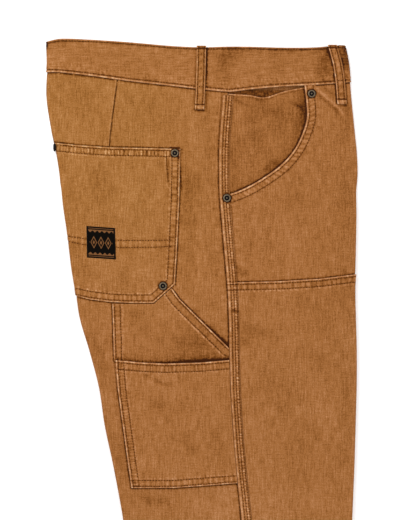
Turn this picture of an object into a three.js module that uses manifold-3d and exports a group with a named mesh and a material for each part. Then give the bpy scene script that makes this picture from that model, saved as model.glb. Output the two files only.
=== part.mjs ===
// Work jeans folded in half down the middle and laid flat, with the right outseam up.
// Millimetres: +X points to the front fold, +Y to the waist and +Z up from the table.
import * as THREE from "three";
import { mergeVertices } from "three/addons/utils/BufferGeometryUtils.js";
import Module from "manifold-3d";

// Driving sizes of the garment
const LENGTH = 1030;
const CLOTH = 1.2;
const POCKET_CLOTH = 1;
const SEAM_GAP = 0.3;
const UPPER_LEG_SHORTER = 5;
const HEM = { depth: 16, step: 1, raise: 0.8 };
const FELL = { width: 13, edge: 1.6, crown: 2.3, top: 68 };

// Heights of the pile above the table, and how it falls away to the folds
const PILE = { hips: 6.3, legs: 9.6, shoulderFall: 0.6, shoulderWidth: 20 };
const FOLD = { hips: 5, legs: 3 };
const INSIDE_SLIT = 3.8;
const LAYER_LIP = 0.6;
const LEG_MOUTH = { inset: 7, height: 2.2, depth: 35 };

// The crotch: its place, how far the inner legs reach up at the folds, and how softly they end
const CROTCH = { across: 38, drop: 300, rise: 85, ramp: 45 };

// Levels down the garment: the back fold, the middle of the outseam and the front fold
const OUTLINE = [
  { drop: 0, back: -185.4, seam: 33, front: 170 },
  { drop: 30, back: -184.8, seam: 32.5, front: 176 },
  { drop: 68, back: -187.2, seam: 30.9, front: 179.4 },
  { drop: 110, back: -181.2, seam: 27.6, front: 183.6 },
  { drop: 136, back: -175.7, seam: 26.3, front: 186.2 },
  { drop: 160, back: -171.8, seam: 26.2, front: 187.2 },
  { drop: 180, back: -169.7, seam: 26.4, front: 186.2 },
  { drop: 230, back: -161.9, seam: 30.3, front: 185.4 },
  { drop: 278, back: -155.9, seam: 34.5, front: 184.3 },
  { drop: 300, back: -152, seam: 36.3, front: 182.9 },
  { drop: 335, back: -147, seam: 37.8, front: 183.5 },
  { drop: 376, back: -135, seam: 38.6, front: 184.5 },
  { drop: 420, back: -123.6, seam: 39.8, front: 184.4 },
  { drop: 464, back: -117, seam: 42.3, front: 183.2 },
  { drop: 515, back: -106.2, seam: 46.5, front: 181.7 },
  { drop: 577, back: -94.8, seam: 53.1, front: 179.1 },
  { drop: 640, back: -86, seam: 58.5, front: 176.9 },
  { drop: 760, back: -70, seam: 65, front: 173 },
  { drop: 900, back: -58, seam: 68, front: 169.5 },
  { drop: 1030, back: -53, seam: 69.5, front: 167 },
];

// Places across the waistband: its top edge and the seam under it
const WAIST = [
  { across: -187, top: 4.2, seam: 40.2 },
  { across: -171, top: 0, seam: 40.4 },
  { across: -135, top: 1, seam: 44.4 },
  { across: -87, top: 4.2, seam: 51 },
  { across: -39, top: 8.4, seam: 56.4 },
  { across: -3, top: 10.2, seam: 60.6 },
  { across: 33, top: 9.4, seam: 63.8 },
  { across: 57, top: 9.6, seam: 61 },
  { across: 93, top: 10.6, seam: 57.6 },
  { across: 117, top: 10.8, seam: 56.4 },
  { across: 141, top: 10, seam: 55.2 },
  { across: 178, top: 7.6, seam: 52.2 },
];

// The scoop mouth of the front pocket
const SCOOP = [
  { drop: 56, across: 123.4 },
  { drop: 77, across: 126 },
  { drop: 94, across: 126.6 },
  { drop: 105, across: 124.2 },
  { drop: 118, across: 119.4 },
  { drop: 130, across: 113.4 },
  { drop: 142, across: 104.8 },
  { drop: 154, across: 92.6 },
  { drop: 163, across: 80.4 },
  { drop: 171, across: 68 },
  { drop: 178, across: 55.4 },
  { drop: 184, across: 42 },
  { drop: 189, across: 27.2 },
];

// Levels at which the panels are measured, from under the waist seam to the hem
const SCOOP_ROWS = SCOOP.map((row) => row.drop).slice(1);
const LOWER_ROWS = [
  204, 220, 236, 252, 266, 278, 288, 300, 335, 376, 420, 464, 515, 577, 640, 760, 900,
];
const FRONT_ROWS = [...SCOOP_ROWS, ...LOWER_ROWS];
const BACK_ROWS = [94, 130, 163, 189, ...LOWER_ROWS];

// Columns of a panel: on its face, round its fold and back under the leg
const FACE_STEPS = 8;
const FACE_EASE = 1.4;
const CURL_STEPS = 6;
const RETURN_STEPS = 3;

// Outlines of the pieces sewn on. Those that go round a fold reach past the garment's edge.
const BACK_POCKET = [
  { across: -200, drop: 123 },
  { across: -170, drop: 125.4 },
  { across: -147, drop: 128 },
  { across: -111, drop: 130.4 },
  { across: -60, drop: 131.4 },
  { across: -26, drop: 132.4 },
  { across: -27.2, drop: 194 },
  { across: -30, drop: 254 },
  { across: -32.4, drop: 294.6 },
  { across: -58, drop: 317.4 },
  { across: -87, drop: 317.4 },
  { across: -111, drop: 316.2 },
  { across: -135, drop: 313.2 },
  { across: -151, drop: 309.6 },
  { across: -200, drop: 300 },
];
const SLANT_POCKET = [
  { across: -107.6, drop: 318.4 },
  { across: -57.6, drop: 318.4 },
  { across: -36.5, drop: 299.4 },
  { across: -27, drop: 312.6 },
  { across: -3, drop: 336.6 },
  { across: 31, drop: 370.4 },
  { across: 32, drop: 420 },
  { across: 35, drop: 464 },
  { across: 41, drop: 532.8 },
  { across: 3, drop: 535.8 },
  { across: -33, drop: 538.4 },
  { across: -84.6, drop: 538.6 },
  { across: -97, drop: 452 },
  { across: -105.6, drop: 386 },
];
const TOOL_POCKET = [
  { across: -103.6, drop: 385.8 },
  { across: -75, drop: 388.6 },
  { across: -45, drop: 390 },
  { across: -3, drop: 388.8 },
  { across: 31.2, drop: 386 },
  { across: 32, drop: 420 },
  { across: 35, drop: 464 },
  { across: 41, drop: 533.6 },
  { across: 3, drop: 536.6 },
  { across: -33, drop: 539.2 },
  { across: -84.6, drop: 539.4 },
  { across: -91.8, drop: 488 },
  { across: -100.8, drop: 422 },
];
const KNEE_PANEL_TOP = [
  { across: 200, drop: 282 },
  { across: 165, drop: 286.2 },
  { across: 141, drop: 289.2 },
  { across: 93, drop: 292.2 },
];
const KNEE_PANEL = { top: 293.4, bottom: 806, pastFold: 200 };
const LABEL = [
  { across: -138.6, drop: 225 },
  { across: -104.4, drop: 227.4 },
  { across: -103.2, drop: 265.2 },
  { across: -138, drop: 262.8 },
];
const LABEL_CLOTH = 1;

// The coin pocket's sagging mouth, and the pocket facing that shows above it
const COIN_POCKET_MOUTH = [
  { across: 31, drop: 66 },
  { across: 57, drop: 67.6 },
  { across: 72, drop: 70.4 },
  { across: 80, drop: 69.4 },
  { across: 93, drop: 64.8 },
  { across: 105, drop: 61.6 },
  { across: 123, drop: 58.4 },
];
const COIN_POCKET_ROUND = 0.5;
const FACING = { top: 62, bottom: 204, pastScoop: 22 };

// Belt loops: the middle of each place along the strap, and the height it stands on
const BELT_LOOP = { halfWidth: 5.6, cloth: 1.8 };
const SIDE_LOOP = [
  { drop: 8.4, across: -1.2, standsOn: 1.5 },
  { drop: 36, across: -1.8, standsOn: 1.6 },
  { drop: 61.5, across: -2.6, standsOn: 1.5 },
  { drop: 68, across: -2.8, standsOn: 0.7 },
  { drop: 79, across: -3.6, standsOn: 0.4 },
  { drop: 85, across: -3.8, standsOn: 0.4 },
];
const FRONT_LOOP = [
  { drop: 7.4, across: 156.6, standsOn: 1.5 },
  { drop: 22, across: 160.8, standsOn: 1.6 },
  { drop: 34, across: 163.6, standsOn: 1.6 },
  { drop: 54.5, across: 166.4, standsOn: 1.5 },
  { drop: 61, across: 167, standsOn: 0.7 },
  { drop: 72, across: 167.8, standsOn: 0.4 },
  { drop: 78.5, across: 168.4, standsOn: 0.4 },
];

// Rivets by the piece that each one goes through, and the waist button under the front fold
const RIVET = { radius: 4.9, height: 1.7, sides: 16 };
const RIVETS = [
  { name: "rivet_back_pocket_top", on: "back_pocket", across: -32.6, drop: 137.4 },
  { name: "rivet_back_pocket_corner", on: "back_pocket", across: -46.8, drop: 297 },
  { name: "rivet_scoop_top", on: "right_front", across: 131.8, drop: 66 },
  { name: "rivet_scoop_bottom", on: "outseam_fell", across: 30, drop: 191.4 },
];
const FOLD_RIVET = { name: "rivet_back_pocket_fold", drop: 130.4, turn: 0.6, clear: 0.2 };
const WAIST_BUTTON = { across: 158, drop: 32, radius: 8.5, height: 2.1, room: 0.8, sides: 24 };

const FAR_ABOVE = 40;
const mix = (a, b, t) => a + (b - a) * t;
const smooth = (t) => THREE.MathUtils.smoothstep(t, 0, 1);

// The straight value, and the smooth one, between the rows of a table in order of its column `by`
function rowBefore(table, by, at) {
  const above = table.findIndex((row) => row[by] > at);
  return above < 0 ? table.length - 2 : Math.max(0, above - 1);
}
function straight(table, by, column, at) {
  const i = rowBefore(table, by, at);
  const t = THREE.MathUtils.clamp((at - table[i][by]) / (table[i + 1][by] - table[i][by]), 0, 1);
  return mix(table[i][column], table[i + 1][column], t);
}
function curved(table, by, column, at) {
  const i = rowBefore(table, by, at);
  const slope = (k) => {
    const before = table[Math.max(0, k - 1)];
    const after = table[Math.min(table.length - 1, k + 1)];
    return (after[column] - before[column]) / (after[by] - before[by]);
  };
  const span = table[i + 1][by] - table[i][by];
  const t = THREE.MathUtils.clamp((at - table[i][by]) / span, 0, 1);
  const leave = slope(i) * span * t * (1 - t) * (1 - t);
  const arrive = slope(i + 1) * span * t * t * (t - 1);
  return mix(table[i][column], table[i + 1][column], smooth(t)) + leave + arrive;
}

const backAt = (drop) => curved(OUTLINE, "drop", "back", drop);
const seamAt = (drop) => curved(OUTLINE, "drop", "seam", drop);
const frontAt = (drop) => curved(OUTLINE, "drop", "front", drop);
const foldAt = (side, drop) => (side > 0 ? frontAt(drop) : backAt(drop));
const waistTop = (across) => straight(WAIST, "across", "top", across);
const waistSeam = (across) => straight(WAIST, "across", "seam", across);
const scoopAt = (drop) => straight(SCOOP, "drop", "across", drop);

// 0 where the pile is the two layers of the hips, 1 where it is the four layers of the legs
function legShare(across, drop) {
  const reach = Math.abs(foldAt(Math.sign(across - CROTCH.across), drop) - CROTCH.across);
  const outward = Math.min(1, Math.abs(across - CROTCH.across) / reach);
  const start = CROTCH.drop - CROTCH.rise * outward ** 3;
  return smooth((drop - start + CROTCH.ramp) / CROTCH.ramp);
}

// The height of the upper cloth
function topHeight(across, drop) {
  const inward = Math.min(across - backAt(drop), frontAt(drop) - across);
  const fall = PILE.shoulderFall * (1 - smooth(inward / PILE.shoulderWidth));
  return mix(PILE.hips, PILE.legs, legShare(across, drop)) - fall;
}

// How the upper or lower half of the garment goes round a fold. A half of the hips ends at the
// middle of the pile, and a half of the legs turns right back under itself.
function foldShape(side, drop, upper) {
  const share = legShare(foldAt(side, drop), drop);
  const reach = mix(FOLD.hips, FOLD.legs, share);
  const start = foldAt(side, drop) - side * reach;
  const up = upper ? 1 : -1;
  const edge = mix(PILE.hips, PILE.legs, share) / 2 + (up * SEAM_GAP) / 2;
  const height = Math.abs((upper ? topHeight(start, drop) : 0) - edge);
  const quarter = (Math.PI / 2) * Math.hypot(reach, height) * Math.SQRT1_2;
  const half = Math.PI * Math.hypot(reach, height / 2) * Math.SQRT1_2;
  return { share, reach, start, edge, height, up, curl: mix(quarter, half, share) };
}

// A point of the cloth in a fold, `round` along the cloth from its start and `lift` outside it
function foldPoint(side, round, drop, lift, upper) {
  const f = foldShape(side, drop, upper);
  const turn = Math.min(1, round / f.curl);
  const inward = Math.max(0, round - f.curl);
  const quarter = (turn * Math.PI) / 2;
  const half = turn * Math.PI;
  const hipsUp = (f.height + lift) * Math.cos(quarter);
  const legsUp = f.height / 2 + (f.height / 2 + lift) * Math.cos(half);
  const out = (f.reach + lift) * mix(Math.sin(quarter), Math.sin(half), f.share) - inward;
  return [f.start + side * out, LENGTH / 2 - drop, f.edge + f.up * mix(hipsUp, legsUp, f.share)];
}

// A point `lift` outside the upper or lower half. `across` runs along the cloth, on round the folds.
function cloth(across, drop, lift, upper = true) {
  for (const side of [-1, 1]) {
    const round = side * (across - foldShape(side, drop, upper).start);
    if (round > 0) return foldPoint(side, round, drop, lift, upper);
  }
  return [across, LENGTH / 2 - drop, upper ? topHeight(across, drop) + lift : -lift];
}

// The place along the cloth that is a share `turn` of the way round a fold
function roundFold(side, drop, turn, upper) {
  const f = foldShape(side, drop, upper);
  return f.start + side * f.curl * turn;
}

// A closed wall between two grids of points that have the same rows and columns
function wall(outer, inner) {
  const rows = outer.length;
  const columns = outer[0].length;
  const at = (grid, i, j) => (grid * rows + i) * columns + j;
  const index = [];
  const quad = (a, b, c, d) => index.push(a, b, c, a, c, d);
  for (let i = 0; i < rows - 1; i++) {
    for (let j = 0; j < columns - 1; j++) {
      quad(at(0, i, j), at(0, i + 1, j), at(0, i + 1, j + 1), at(0, i, j + 1));
      quad(at(1, i, j), at(1, i, j + 1), at(1, i + 1, j + 1), at(1, i + 1, j));
    }
  }
  const rim = [];
  for (let i = 0; i < rows - 1; i++) rim.push([i, 0]);
  for (let j = 0; j < columns - 1; j++) rim.push([rows - 1, j]);
  for (let i = rows - 1; i > 0; i--) rim.push([i, columns - 1]);
  for (let j = columns - 1; j > 0; j--) rim.push([0, j]);
  rim.forEach((p, k) => {
    const q = rim[(k + 1) % rim.length];
    quad(at(0, ...q), at(0, ...p), at(1, ...p), at(1, ...q));
  });
  return facingOut([outer, inner].flat(3), index);
}

// A geometry with its faces turned outwards and without faces that have shrunk to a line
function facingOut(positions, index) {
  const loose = new THREE.BufferGeometry();
  loose.setAttribute("position", new THREE.Float32BufferAttribute(positions, 3));
  loose.setIndex(index);
  const geometry = mergeVertices(loose, 1e-3);
  const place = geometry.getAttribute("position");
  const merged = geometry.getIndex().array;
  const kept = [];
  let volume = 0;
  for (let k = 0; k < merged.length; k += 3) {
    const face = [merged[k], merged[k + 1], merged[k + 2]];
    if (new Set(face).size < 3) continue;
    const [a, b, c] = face.map((corner) => new THREE.Vector3().fromBufferAttribute(place, corner));
    volume += a.dot(b.cross(c));
    kept.push(...face);
  }
  geometry.setIndex(volume > 0 ? kept : kept.reverse());
  return geometry;
}

// A geometry as a solid that can be cut, and a solid as a geometry
const wasm = await Module();
wasm.setup();
function toSolid(geometry) {
  const bare = geometry.clone();
  bare.deleteAttribute("normal");
  bare.deleteAttribute("uv");
  const merged = mergeVertices(bare);
  const vertProperties = merged.getAttribute("position").array;
  const triVerts = new Uint32Array(merged.getIndex().array);
  return new wasm.Manifold(new wasm.Mesh({ numProp: 3, vertProperties, triVerts }));
}
function toGeometry(solid) {
  const mesh = solid.getMesh();
  const geometry = new THREE.BufferGeometry();
  geometry.setAttribute("position", new THREE.BufferAttribute(mesh.vertProperties, 3));
  geometry.setIndex(new THREE.BufferAttribute(mesh.triVerts, 1));
  return geometry;
}

// Where the inner leg's cloth ends: at the crotch curve, and below it at the inseam
function returnLength(side, drop) {
  const toInseam = Math.abs(seamAt(drop) - foldShape(side, drop, true).start) - SEAM_GAP / 2;
  const down = THREE.MathUtils.clamp((drop - CROTCH.drop + CROTCH.rise) / CROTCH.rise, 0, 1);
  return toInseam * (1 - Math.sqrt(1 - down * down));
}

// The place along the cloth of one column of a leg panel whose face begins at `start`
function panelPlace(side, start, drop, column) {
  const f = foldShape(side, drop, true);
  if (column <= FACE_STEPS) return mix(start, f.start, 1 - (1 - column / FACE_STEPS) ** FACE_EASE);
  const curled = Math.min(CURL_STEPS, column - FACE_STEPS) / CURL_STEPS;
  const returned = Math.max(0, column - FACE_STEPS - CURL_STEPS) / RETURN_STEPS;
  return f.start + side * (f.curl * curled + returnLength(side, drop) * returned);
}

// One level of a panel of the upper leg: over the top, round its fold, and under to the inseam.
// The level 0 follows the waist seam.
function panelRow(side, level, lift, columns = FACE_STEPS + CURL_STEPS + RETURN_STEPS) {
  const nominal = level || waistSeam(seamAt(0));
  const scooped = side > 0 && nominal < SCOOP.at(-1).drop;
  const start = scooped ? scoopAt(nominal) : seamAt(nominal) + (side * SEAM_GAP) / 2;
  const row = [];
  for (let column = 0; column <= columns; column++) {
    const place = panelPlace(side, start, nominal, column);
    const drop = level || waistSeam(place) + SEAM_GAP;
    row.push(cloth(panelPlace(side, start, drop, column), drop, lift));
  }
  return row;
}

function legPanel(side) {
  const end = LENGTH - UPPER_LEG_SHORTER;
  const hemTop = end - HEM.depth;
  const rows = [0, ...(side > 0 ? FRONT_ROWS : BACK_ROWS), hemTop - HEM.step, hemTop, end];
  const outer = rows.map((level) => {
    const row = panelRow(side, level, 0);
    if (level < hemTop) return row;
    return row.map(([x, y, z], column) => [x, y, column <= FACE_STEPS ? z + HEM.raise : z]);
  });
  return wall(outer, rows.map((level) => panelRow(side, level, -CLOTH)));
}

// A layer of cloth on a leg panel, made from the panel's points moved out and cut to an outline
function layerOn(side, outline, low, high, columns = FACE_STEPS) {
  const drops = outline.map((point) => point.drop);
  const levels = side > 0 ? FRONT_ROWS : BACK_ROWS;
  const first = levels.findLastIndex((level) => level <= Math.min(...drops));
  const last = levels.findIndex((level) => level >= Math.max(...drops));
  const rows = levels.slice(first, last + 1);
  const grid = (lift) => rows.map((level) => panelRow(side, level, lift, columns));
  const corners = outline.map(({ across, drop }) => new THREE.Vector2(across, LENGTH / 2 - drop));
  const options = { depth: FAR_ABOVE, bevelEnabled: false };
  const column = new THREE.ExtrudeGeometry(new THREE.Shape(corners), options);
  return toGeometry(toSolid(wall(grid(high), grid(low))).intersect(toSolid(column)));
}

const backPocket = () =>
  layerOn(-1, BACK_POCKET, SEAM_GAP, SEAM_GAP + POCKET_CLOTH, FACE_STEPS + CURL_STEPS / 2);
const slantPocket = () => layerOn(-1, SLANT_POCKET, SEAM_GAP, SEAM_GAP + POCKET_CLOTH);
const toolPocket = () =>
  layerOn(-1, TOOL_POCKET, 2 * SEAM_GAP + POCKET_CLOTH, 2 * (SEAM_GAP + POCKET_CLOTH));
const label = () => {
  const low = 2 * SEAM_GAP + POCKET_CLOTH;
  return layerOn(-1, LABEL, low, low + LABEL_CLOTH);
};

// The second layer on the front of the leg, from the thigh to below the knee
function kneePanel() {
  const besideFell = (drop) => seamAt(drop) + FELL.width / 2 + SEAM_GAP;
  const { top, bottom, pastFold } = KNEE_PANEL;
  const levels = [top, ...FRONT_ROWS.filter((drop) => drop > top && drop < bottom), bottom];
  const left = levels.map((drop) => ({ across: besideFell(drop), drop }));
  const outline = [...KNEE_PANEL_TOP, ...left, { across: pastFold, drop: bottom }];
  return layerOn(1, outline, SEAM_GAP, SEAM_GAP + CLOTH, FACE_STEPS + CURL_STEPS / 2);
}

// A strip along rows of places, between two heights that may change across it
function strip(rows, low, high) {
  const layer = (lift) => rows.map((row) => row.map(([x, drop], j) => cloth(x, drop, lift(j))));
  return wall(layer(high), layer(low));
}

// The felled outseam, raised along its middle, which covers the meeting of the two panels
function outseamFell() {
  const hemTop = LENGTH - UPPER_LEG_SHORTER - HEM.depth - 2 * HEM.step;
  const levels = [FELL.top, ...FRONT_ROWS, hemTop];
  const offsets = [-0.5, -0.25, 0, 0.25, 0.5].map((share) => share * FELL.width);
  const rows = levels.map((drop) => offsets.map((offset) => [seamAt(drop) + offset, drop]));
  const edge = (j) => j === 0 || j === offsets.length - 1;
  return strip(rows, () => SEAM_GAP, (j) => (edge(j) ? FELL.edge : FELL.crown));
}

// The coin pocket fills the scoop level with the front panel, and its mouth sags from the band
function coinPocket() {
  const shares = [0, 0.2, 0.4, 0.6, 0.8, 1];
  const places = (drop) => {
    const left = seamAt(drop) + SEAM_GAP;
    return shares.map((share) => mix(left, scoopAt(drop) - COIN_POCKET_ROUND, share));
  };
  const mouth = places(SCOOP[0].drop).map((x) => [x, curved(COIN_POCKET_MOUTH, "across", "drop", x)]);
  const rows = SCOOP_ROWS.slice(0, -1).map((drop) => places(drop).map((x) => [x, drop]));
  return strip([mouth, ...rows], () => -CLOTH, () => 0);
}

// The facing under the scoop, which closes the front pocket
function pocketFacing() {
  const shares = [0, 0.25, 0.5, 0.75, 1];
  const levels = [FACING.top, ...SCOOP_ROWS, FACING.bottom];
  const rows = levels.map((drop) => {
    const left = seamAt(drop) + SEAM_GAP;
    const right = Math.max(scoopAt(drop), left) + FACING.pastScoop;
    return shares.map((share) => [mix(left, right, share), drop]);
  });
  return strip(rows, () => -2 * CLOTH - SEAM_GAP, () => -CLOTH - SEAM_GAP);
}

// A half of the waistband, between two depths inside the garment
function waistbandHalf(upper, outside, inside) {
  const level = WAIST[0].seam;
  const from = foldShape(-1, level, upper).start;
  const to = foldShape(1, level, upper).start;
  const turns = [0.25, 0.5, 0.75, 1];
  const places = [
    ...turns.map((turn) => roundFold(-1, level, turn, upper)).reverse(),
    from,
    ...WAIST.map((row) => row.across).filter((across) => across > from + 1 && across < to - 1),
    to,
    ...turns.map((turn) => roundFold(1, level, turn, upper)),
  ];
  const layer = (lift) =>
    [0, 0.5, 1].map((down) =>
      places.map((x) => cloth(x, mix(waistTop(x), waistSeam(x), down), lift, upper)),
    );
  return wall(layer(outside), layer(inside));
}

// The lower half of the waistband has a hole for the button, which is level with the table
function waistbandLeft() {
  const { across, drop, radius, room, sides } = WAIST_BUTTON;
  const hole = new THREE.CylinderGeometry(radius + room, radius + room, FAR_ABOVE, sides);
  hole.rotateX(Math.PI / 2).translate(across, LENGTH / 2 - drop, 0);
  return toGeometry(toSolid(waistbandHalf(false, 0, -2 * CLOTH)).subtract(toSolid(hole)));
}

// The left half: one cloth at the hips, and below the crotch one rounded solid for its two layers
function leftHalf() {
  const flatSteps = 6;
  const curlSteps = 4;
  const columns = 2 * (flatSteps + curlSteps);
  const placeOf = (drop, column) => {
    const side = column < columns / 2 ? -1 : 1;
    const fromEdge = Math.min(column, columns - column);
    if (fromEdge < curlSteps) return roundFold(side, drop, 1 - fromEdge / curlSteps, false);
    return mix(foldShape(side, drop, false).start, seamAt(drop), (fromEdge - curlSteps) / flatSteps);
  };
  const topOf = (place, drop, column) => {
    const side = column < columns / 2 ? -1 : 1;
    const fromEdge = Math.min(column, columns - column);
    const f = foldShape(side, drop, false);
    const [x, y, z] = cloth(place, drop, -CLOTH, false);
    if (fromEdge <= curlSteps) {
      const lip = f.start - side * LAYER_LIP * (1 + fromEdge);
      return [mix(x, lip, f.share), y, mix(z, f.edge, f.share)];
    }
    const hips = Math.max(CLOTH, topHeight(place, drop) - CLOTH - INSIDE_SLIT);
    return [x, y, Math.min(f.edge, mix(hips, f.edge, legShare(place, drop)))];
  };
  const rows = (pointOf) =>
    [0, ...BACK_ROWS, LENGTH].map((level) =>
      [...Array(columns + 1).keys()].map((column) => {
        const drop = level || waistSeam(placeOf(WAIST[0].seam, column)) + SEAM_GAP;
        return pointOf(placeOf(drop, column), drop, column);
      }),
    );
  const solid = wall(rows((place, drop) => cloth(place, drop, 0, false)), rows(topOf));
  const { inset, height, depth } = LEG_MOUTH;
  const mouth = new THREE.BoxGeometry(frontAt(LENGTH) - backAt(LENGTH) - 2 * inset, 2 * depth, height);
  mouth.translate((frontAt(LENGTH) + backAt(LENGTH)) / 2, -LENGTH / 2, PILE.legs / 4);
  return toGeometry(toSolid(solid).subtract(toSolid(mouth)));
}

function beltLoop(strap) {
  const rows = (extra) =>
    strap.map(({ drop, across, standsOn }) =>
      [-1, 1].map((edge) => cloth(across + edge * BELT_LOOP.halfWidth, drop, standsOn + extra)),
    );
  return wall(rows(BELT_LOOP.cloth), rows(0));
}

// A turned disc standing on its flat back, from the shares of its radius and height
function turnedDisc({ radius, height, sides }, shares) {
  const points = shares.map(([out, up]) => new THREE.Vector2(out * radius, up * height));
  return new THREE.LatheGeometry(points, sides).rotateX(Math.PI / 2);
}
const RIVET_SHARES = [
  [0, 0],
  [1, 0],
  [1, 0.45],
  [0.84, 0.9],
  [0.6, 1],
  [0.42, 0.8],
  [0.36, 0.3],
  [0.16, 0.3],
  [0, 0.7],
];
const BUTTON_SHARES = [
  [0, 0],
  [0.85, 0],
  [1, 0.3],
  [1, 1],
  [0, 1],
];

// Materials
const duck = new THREE.MeshStandardMaterial({ color: "#a56b39", roughness: 0.9, metalness: 0 });
const labelWeave = new THREE.MeshStandardMaterial({ color: "#15110d", roughness: 0.7, metalness: 0 });
const gunmetal = new THREE.MeshStandardMaterial({ color: "#6e6a60", roughness: 0.4, metalness: 0.9 });

// Assembly
const jeans = new THREE.Group();
function add(name, geometry, material = duck) {
  const mesh = new THREE.Mesh(geometry, material);
  mesh.name = name;
  jeans.add(mesh);
  return mesh;
}

add("right_front", legPanel(1));
add("right_back", legPanel(-1));
add("left_half_folded_under", leftHalf());
add("waistband_right", waistbandHalf(true, CLOTH, -CLOTH));
add("waistband_left", waistbandLeft());
add("outseam_fell", outseamFell());
add("front_knee_panel", kneePanel());
add("pocket_facing", pocketFacing());
add("coin_pocket", coinPocket());
add("back_pocket", backPocket());
add("slant_pocket", slantPocket());
add("tool_pocket", toolPocket());
add("belt_loop_side", beltLoop(SIDE_LOOP));
add("belt_loop_front", beltLoop(FRONT_LOOP));
add("label", label(), labelWeave);

// Each rivet stands on the piece that it goes through
for (const { name, on, across, drop } of RIVETS) {
  const down = new THREE.Vector3(0, 0, -1);
  const above = new THREE.Vector3(across, LENGTH / 2 - drop, FAR_ABOVE);
  const [hit] = new THREE.Raycaster(above, down).intersectObject(jeans.getObjectByName(on));
  const rivet = add(name, turnedDisc(RIVET, RIVET_SHARES), gunmetal);
  rivet.position.set(above.x, above.y, hit.point.z + SEAM_GAP);
}

// The rivet in the back fold leans with the cloth that goes round it
const foldPlace = roundFold(-1, FOLD_RIVET.drop, FOLD_RIVET.turn, true);
const foldLift = 2 * SEAM_GAP + POCKET_CLOTH + FOLD_RIVET.clear;
const foldFoot = new THREE.Vector3(...cloth(foldPlace, FOLD_RIVET.drop, foldLift));
const foldOut = new THREE.Vector3(...cloth(foldPlace, FOLD_RIVET.drop, foldLift + 1)).sub(foldFoot);
const foldRivet = add(FOLD_RIVET.name, turnedDisc(RIVET, RIVET_SHARES), gunmetal);
foldRivet.position.copy(foldFoot);
foldRivet.quaternion.setFromUnitVectors(new THREE.Vector3(0, 0, 1), foldOut.normalize());

const button = add("waist_button", turnedDisc(WAIST_BUTTON, BUTTON_SHARES), gunmetal);
button.position.set(WAIST_BUTTON.across, LENGTH / 2 - WAIST_BUTTON.drop, 0);

// The origin is on the table, under the middle of the garment
const middle = new THREE.Box3().setFromObject(jeans, true).getCenter(new THREE.Vector3());
jeans.position.set(-middle.x, -middle.y, 0);

export default jeans;
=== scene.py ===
# Work jeans folded in half down the middle and laid flat, with the right outseam up.
# Cloth is worked out in millimetres, across and down the garment, and its meshes are in metres.
import math

import bmesh
import bpy
import numpy as np
from mathutils import Matrix, Vector
from mathutils.bvhtree import BVHTree


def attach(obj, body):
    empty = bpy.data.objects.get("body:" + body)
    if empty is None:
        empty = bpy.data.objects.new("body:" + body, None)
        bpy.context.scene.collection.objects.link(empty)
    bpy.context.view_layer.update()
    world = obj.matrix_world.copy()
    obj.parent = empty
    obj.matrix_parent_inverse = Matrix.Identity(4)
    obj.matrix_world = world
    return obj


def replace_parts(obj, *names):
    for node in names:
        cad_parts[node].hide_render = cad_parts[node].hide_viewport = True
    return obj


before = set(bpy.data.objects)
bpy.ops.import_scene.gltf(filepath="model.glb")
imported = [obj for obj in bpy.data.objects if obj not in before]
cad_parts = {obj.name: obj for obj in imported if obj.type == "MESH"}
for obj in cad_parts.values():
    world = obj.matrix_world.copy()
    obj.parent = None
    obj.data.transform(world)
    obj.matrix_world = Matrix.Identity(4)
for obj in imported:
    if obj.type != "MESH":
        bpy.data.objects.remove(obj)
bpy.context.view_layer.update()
MM = 0.001

# The camera looks straight down, and the photo's 416 by 520 pixels are 1.2 mm each
PIXEL = 1.2
PIXELS_TALL = 520
VIEW_TALL = PIXELS_TALL * PIXEL * MM
VIEW_MIDDLE = (0.007, 0.2492)
CAMERA_HEIGHT = 3.0
SENSOR = 36.0
CLOTH_LEVEL = 0.01

camera_data = bpy.data.cameras.new("camera")
camera_data.sensor_fit = "VERTICAL"
camera_data.sensor_height = SENSOR
camera_data.lens = SENSOR * CAMERA_HEIGHT / VIEW_TALL
camera = bpy.data.objects.new("camera", camera_data)
camera.location = (*VIEW_MIDDLE, CAMERA_HEIGHT + CLOTH_LEVEL)
bpy.context.collection.objects.link(camera)
bpy.context.scene.camera = camera

# Driving sizes of the garment in millimetres: the pile is two layers high at the hips and four at
# the legs, and its folds reach out beyond the flat cloth
LENGTH = 1030.0
CLOTH = 1.2
GAP = 0.3
SEAM_GAP = 0.04
MIDDLE_ACROSS = 0.244
HEM_DEPTH = 16.0
HEM_ROW = 14.2
UNDER_HEM_ROW = 14.0
UPPER_LEG_SHORTER = 5.0
HIPS_HIGH = 6.3
LEGS_HIGH = 9.6
SHOULDER_FALL = 0.6
SHOULDER_WIDTH = 20.0
HIPS_REACH = 5.0
LEGS_REACH = 3.0
INSIDE_SLIT = 3.8
CROTCH_ACROSS = 38.0
CROTCH_DROP = 300.0
CROTCH_RISE = 85.0
CROTCH_RAMP = 45.0
POCKET_LOW = GAP
POCKET_HIGH = GAP + 1.0
SECOND_LOW = POCKET_HIGH + GAP
SECOND_HIGH = SECOND_LOW + 1.0

# Levels down the garment: the drop, the back fold, the outseam and the front fold
BACK, SEAM, FRONT = 1, 2, 3
OUTLINE = np.array([
    (0, -186.6, 33, 170),
    (30, -185.8, 32.5, 176),
    (68, -187.2, 30.9, 179.4),
    (110, -181.2, 27.6, 183.6),
    (136, -175.7, 26.3, 186.2),
    (160, -171.8, 26.2, 187.2),
    (180, -169.7, 26.4, 186.2),
    (230, -161.9, 30.3, 185.4),
    (278, -155.9, 34.5, 184.3),
    (300, -152, 36.3, 182.9),
    (335, -147, 37.8, 183.5),
    (376, -135, 38.6, 184.5),
    (420, -123.6, 39.8, 184.4),
    (464, -117, 42.3, 183.2),
    (515, -106.2, 46.5, 181.7),
    (577, -94.8, 53.1, 179.1),
    (640, -86, 58.5, 176.9),
    (760, -70, 65, 173),
    (900, -58, 68, 169.5),
    (1030, -53, 69.5, 167),
])

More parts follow.
